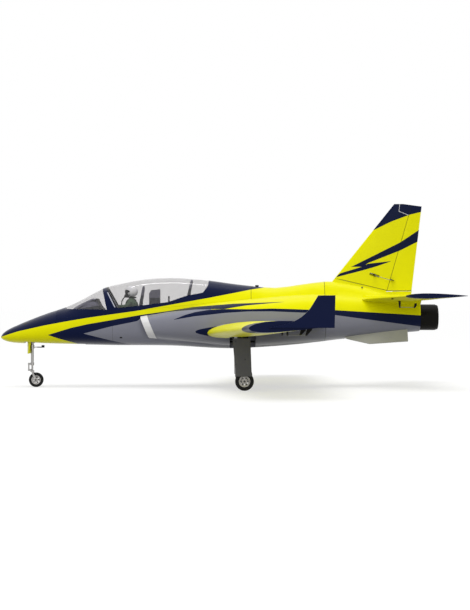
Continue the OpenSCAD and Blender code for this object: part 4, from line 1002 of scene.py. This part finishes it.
class JET_OT_screws(bpy.types.Operator):
    """Put the screw heads on the leg covers, hubs, nose fork and tail"""

    bl_idname = "jet.screws"
    bl_label = "Set the screws"
    bl_options = {"REGISTER", "UNDO"}

    def execute(self, context):
        sizes = context.scene.jet_fittings
        tree = screw_tree()
        steel = metal("screw_steel", (0.06, 0.06, 0.06), 0.4)
        x, y, z = TAIL_SCREW
        spots = {"airframe": [((x, s * y, z), (0, s, 0.6)) for s in (-1, 1)]}
        for side, sign in (("left", -1), ("right", 1)):
            low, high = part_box(f"{side}_leg_cover")
            face = (low.y if sign < 0 else high.y) / MM
            spots[f"{side}_leg"] = [((x, face, z), (0, sign, 0)) for x, z in COVER_SCREWS]
            low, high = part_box(f"{side}_wheel")
            centre = (low + high) / 2 / MM
            face = (low.y if sign < 0 else high.y) / MM
            spots[f"{side}_wheel"] = [((centre.x, face, centre.z), (0, sign, 0))]
        x, z = NOSE_AXLE
        low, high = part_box("nose_fork")
        spots["nose_fork"] = [((x, s * (high.y / MM), z), (0, s, 0)) for s in (-1, 1)]
        for body, places in spots.items():
            mesh = run_tree(tree, points_mesh(f"{body}_points", places), {
                "Radius": sizes.screw_r, "Height": sizes.screw_h * 2, "Finish": steel,
            })
            piece(f"{body}_screws", mesh, None, body, smooth=False)
        return {"FINISHED"}


# ---------------- pilot


def helmet_shell(bm):
    """An egg that is flatter under the brow and below the ears."""
    ball(bm, HEAD, HELMET_SIZE, 48, HELMET_SQUASH)
    brow = HELMET_SIZE * HELMET_SQUASH[0] * 0.3
    jaw = HEAD.z - JAW
    for v in bm.verts:
        if v.co.z < jaw:
            v.co.z = jaw + (v.co.z - jaw) * (0.84 if HEAD.x - v.co.x < brow else 0.6)


def visor_shell(bm):
    """The part of a larger egg's skin that lies before the visor's rear edge."""
    rows = []
    for z, back in VISOR_ROWS:
        level = math.sqrt(max(1 - ((z - HEAD.z) / VISOR_SIZE[2]) ** 2, 0.01))
        reach = math.acos(max(-1, min(1, (HEAD.x - back) / (VISOR_SIZE[0] * level))))
        rows.append([
            (HEAD.x - VISOR_SIZE[0] * level * math.cos(a), VISOR_SIZE[1] * level * math.sin(a), z)
            for a in (reach * (k / 12 - 1) for k in range(25))
        ])
    skin_rings(bm, rows, closed=False)
    bmesh.ops.recalc_face_normals(bm, faces=bm.faces)
    bmesh.ops.solidify(bm, geom=bm.faces[:], thickness=VISOR_THICK)


def mask_and_hose(bm):
    rings = []
    for x, z, half, tall in MASK_SECTIONS:
        rings.append([(x, half * math.cos(a), z + tall * math.sin(a)) for a in turns(18)])
    skin_rings(bm, rings)
    tube(bm, bend(HOSE), 1.7, 10)


def helmet_rim(bm):
    """The padded rim round the neck, and the mask's clips."""
    ring = [
        Vector((HEAD.x - 0.5 + 14.2 * math.cos(a), 12.8 * math.sin(a), 289.5 - 1.2 * math.cos(a)))
        for a in turns(36)
    ]
    tube(bm, [*ring, ring[0]], 2.4, 10)
    for side in (-1, 1):
        ball(bm, (-315.5, side * 15.8, 295.5), 1.6, 12, (1, 0.6, 1))


def body_and_neck(bm):
    rings = []
    for z, deep, wide, middle in BODY_SECTIONS:
        rings.append([(middle + deep * math.cos(a), wide * math.sin(a), z) for a in turns(28)])
    skin_rings(bm, rings)


def arms(bm):
    tube(bm, bend(ARM), 7.8, 14, 0.7)
    mirror(bm)


def straps(bm):
    tube(bm, bend(STRAP), 2.1, 6)
    mirror(bm)


class JET_OT_pilot(bpy.types.Operator):
    """Make the seated pilot: helmet, visor, mask, hose, suit and harness"""

    bl_idname = "jet.pilot"
    bl_label = "Make the pilot"
    bl_options = {"REGISTER", "UNDO"}

    def execute(self, context):
        white = moulded("helmet_shell", (0.90, 0.90, 0.93), 0.3)
        dark = moulded("visor_plastic", (0.004, 0.004, 0.005), 0.25, gloss=0.2)
        suit = woven("flight_suit", (0.085, 0.135, 0.080), 1600.0)
        webbing = woven("harness", (0.035, 0.045, 0.030), 2400.0)
        for name, shape, finish, replaces, levels in (
            ("pilot_helmet", helmet_shell, white, ["pilot"], 0),
            ("pilot_visor", visor_shell, dark, (), 0),
            ("pilot_mask", mask_and_hose, dark, (), 0),
            ("helmet_rim", helmet_rim, dark, (), 0),
            ("pilot_body", body_and_neck, suit, (), 1),
            ("pilot_arms", arms, suit, (), 1),
            ("pilot_harness", straps, webbing, (), 0),
        ):
            bm = bmesh.new()
            shape(bm)
            piece(name, bm, finish, "hatch", replaces, levels=levels)
        return {"FINISHED"}


# ---------------- stage


def background_rays(tree):
    """1 for the rays that show the background: of the camera, and of metal and glass."""
    ray = add_node(tree, "ShaderNodeLightPath").outputs
    total = ray["Is Camera Ray"]
    for name in ("Is Glossy Ray", "Is Transmission Ray"):
        total = add_node(tree, "ShaderNodeMath", {0: total, 1: ray[name]}, operation="MAXIMUM").outputs[0]
    return total


def floor_paint(stage):
    """Pale floor that is seen whiter than it is lit, and is clear from below to show the underside."""
    material = bpy.data.materials.new("pale_floor")
    material.use_nodes = True
    tree = material.node_tree
    shader = tree.nodes["Principled BSDF"]
    shader.inputs["Base Color"].default_value = tuple(stage.floor)
    shader.inputs["Roughness"].default_value = 0.9
    shader.inputs["Specular IOR Level"].default_value = 0.0
    shader.inputs["Emission Color"].default_value = (1, 1, 1, 1)
    lift = add_node(tree, "ShaderNodeMath", {0: background_rays(tree), 1: stage.lift}, operation="MULTIPLY")
    tree.links.new(lift.outputs[0], shader.inputs["Emission Strength"])
    below = add_node(tree, "ShaderNodeNewGeometry").outputs["Backfacing"]
    clear = add_node(tree, "ShaderNodeBsdfTransparent")
    blend = add_node(tree, "ShaderNodeMixShader", {0: below, 1: shader.outputs[0], 2: clear.outputs[0]})
    tree.links.new(blend.outputs[0], tree.nodes["Material Output"].inputs["Surface"])
    return material


def lay_floor(scene):
    mesh = bpy.data.meshes.new("floor")
    corners = ((-1, -1), (1, -1), (1, 1), (-1, 1))
    mesh.from_pydata([(x * FLOOR_HALF, y * FLOOR_HALF, 0) for x, y in corners], [], [(0, 1, 2, 3)])
    mesh.materials.append(floor_paint(scene.jet_stage))
    floor = bpy.data.objects.new("floor", mesh)
    scene.collection.objects.link(floor)


def light_world(scene):
    """White to the rays that show the background, and dimmer as a light."""
    world = bpy.data.worlds.new("studio")
    scene.world = world
    world.use_nodes = True
    tree = world.node_tree
    sky = tree.nodes["Background"]
    inputs = {"Factor": background_rays(tree), "A": scene.jet_stage.sky, "B": 1.0}
    strength = add_node(tree, "ShaderNodeMix", inputs)
    tree.links.new(strength.outputs[0], sky.inputs["Strength"])
    sky.inputs["Color"].default_value = (1, 1, 1, 1)


def hang_lamp(scene, name, kind, strength):
    lamp = bpy.data.lights.new(name, kind)
    lamp.energy = strength
    holder = bpy.data.objects.new(name, lamp)
    scene.collection.objects.link(holder)
    return lamp, holder


def hang_panel(scene, name, place, aim, strength, size):
    """A flat lamp of a width and a height at a place, turned to an aim."""
    lamp, holder = hang_lamp(scene, name, "AREA", strength)
    lamp.shape = "RECTANGLE"
    lamp.size, lamp.size_y = size
    holder.location = place
    holder.rotation_euler = (Vector(aim) - Vector(place)).to_track_quat("-Z", "Y").to_euler()


def set_camera(scene):
    """Level side view from the left."""
    camera = bpy.data.objects.new("camera", bpy.data.cameras.new("camera"))
    scene.collection.objects.link(camera)
    camera.location = CAMERA_PLACE
    camera.rotation_euler = (math.radians(90), 0, 0)
    camera.data.lens = CAMERA_LENS
    camera.data.sensor_width = 36
    camera.data.sensor_fit = "AUTO"
    scene.camera = camera


class JET_OT_stage(bpy.types.Operator):
    """Make the floor, the lamps, the world and the camera"""

    bl_idname = "jet.stage"
    bl_label = "Set the stage"
    bl_options = {"REGISTER", "UNDO"}

    def execute(self, context):
        scene = context.scene
        stage = scene.jet_stage
        scene.view_settings.view_transform = "Standard"
        lay_floor(scene)
        light_world(scene)
        hang_panel(scene, "strip_lamp", (0.6, 0.02, 3.1), (0.6, 0, 0.2), stage.strip, (3.2, 0.22))
        hang_panel(scene, "fill_lamp", (0.6, -4.2, 1.4), (0, 0, 0.2), stage.fill, (2.4, 1.6))
        sun, holder = hang_lamp(scene, "key_lamp", "SUN", stage.key)
        sun.angle = math.radians(40)
        holder.rotation_euler = (math.radians(22), math.radians(-6), 0)
        holder.visible_glossy = False
        set_camera(scene)
        return {"FINISHED"}


# ---------------- add-on

STEPS = (
    JET_OT_airframe, JET_OT_fittings, JET_OT_cockpit, JET_OT_tyres, JET_OT_screws, JET_OT_pilot, JET_OT_stage,
)


class JET_PT_panel(bpy.types.Panel):
    """Lists the steps and their settings"""

    bl_label = "Sport jet"
    bl_idname = "JET_PT_panel"
    bl_space_type = "VIEW_3D"
    bl_region_type = "UI"
    bl_category = "Sport jet"

    def draw(self, context):
        for step in STEPS:
            self.layout.operator(step.bl_idname)
        for group in (context.scene.jet_paint, context.scene.jet_fittings, context.scene.jet_stage):
            box = self.layout.box()
            for name in group.__annotations__:
                box.prop(group, name)


CLASSES = (JetPaint, JetFittings, JetStage, *STEPS, JET_PT_panel)


def register():
    for cls in CLASSES:
        bpy.utils.register_class(cls)
    bpy.types.Scene.jet_paint = bpy.props.PointerProperty(type=JetPaint)
    bpy.types.Scene.jet_fittings = bpy.props.PointerProperty(type=JetFittings)
    bpy.types.Scene.jet_stage = bpy.props.PointerProperty(type=JetStage)


def unregister():
    for name in ("jet_stage", "jet_fittings", "jet_paint"):
        delattr(bpy.types.Scene, name)
    for cls in reversed(CLASSES):
        bpy.utils.unregister_class(cls)


def main():
    register()
    for step in STEPS:
        group, name = step.bl_idname.split(".")
        getattr(getattr(bpy.ops, group), name)()


if __name__ == "__main__":
    main()
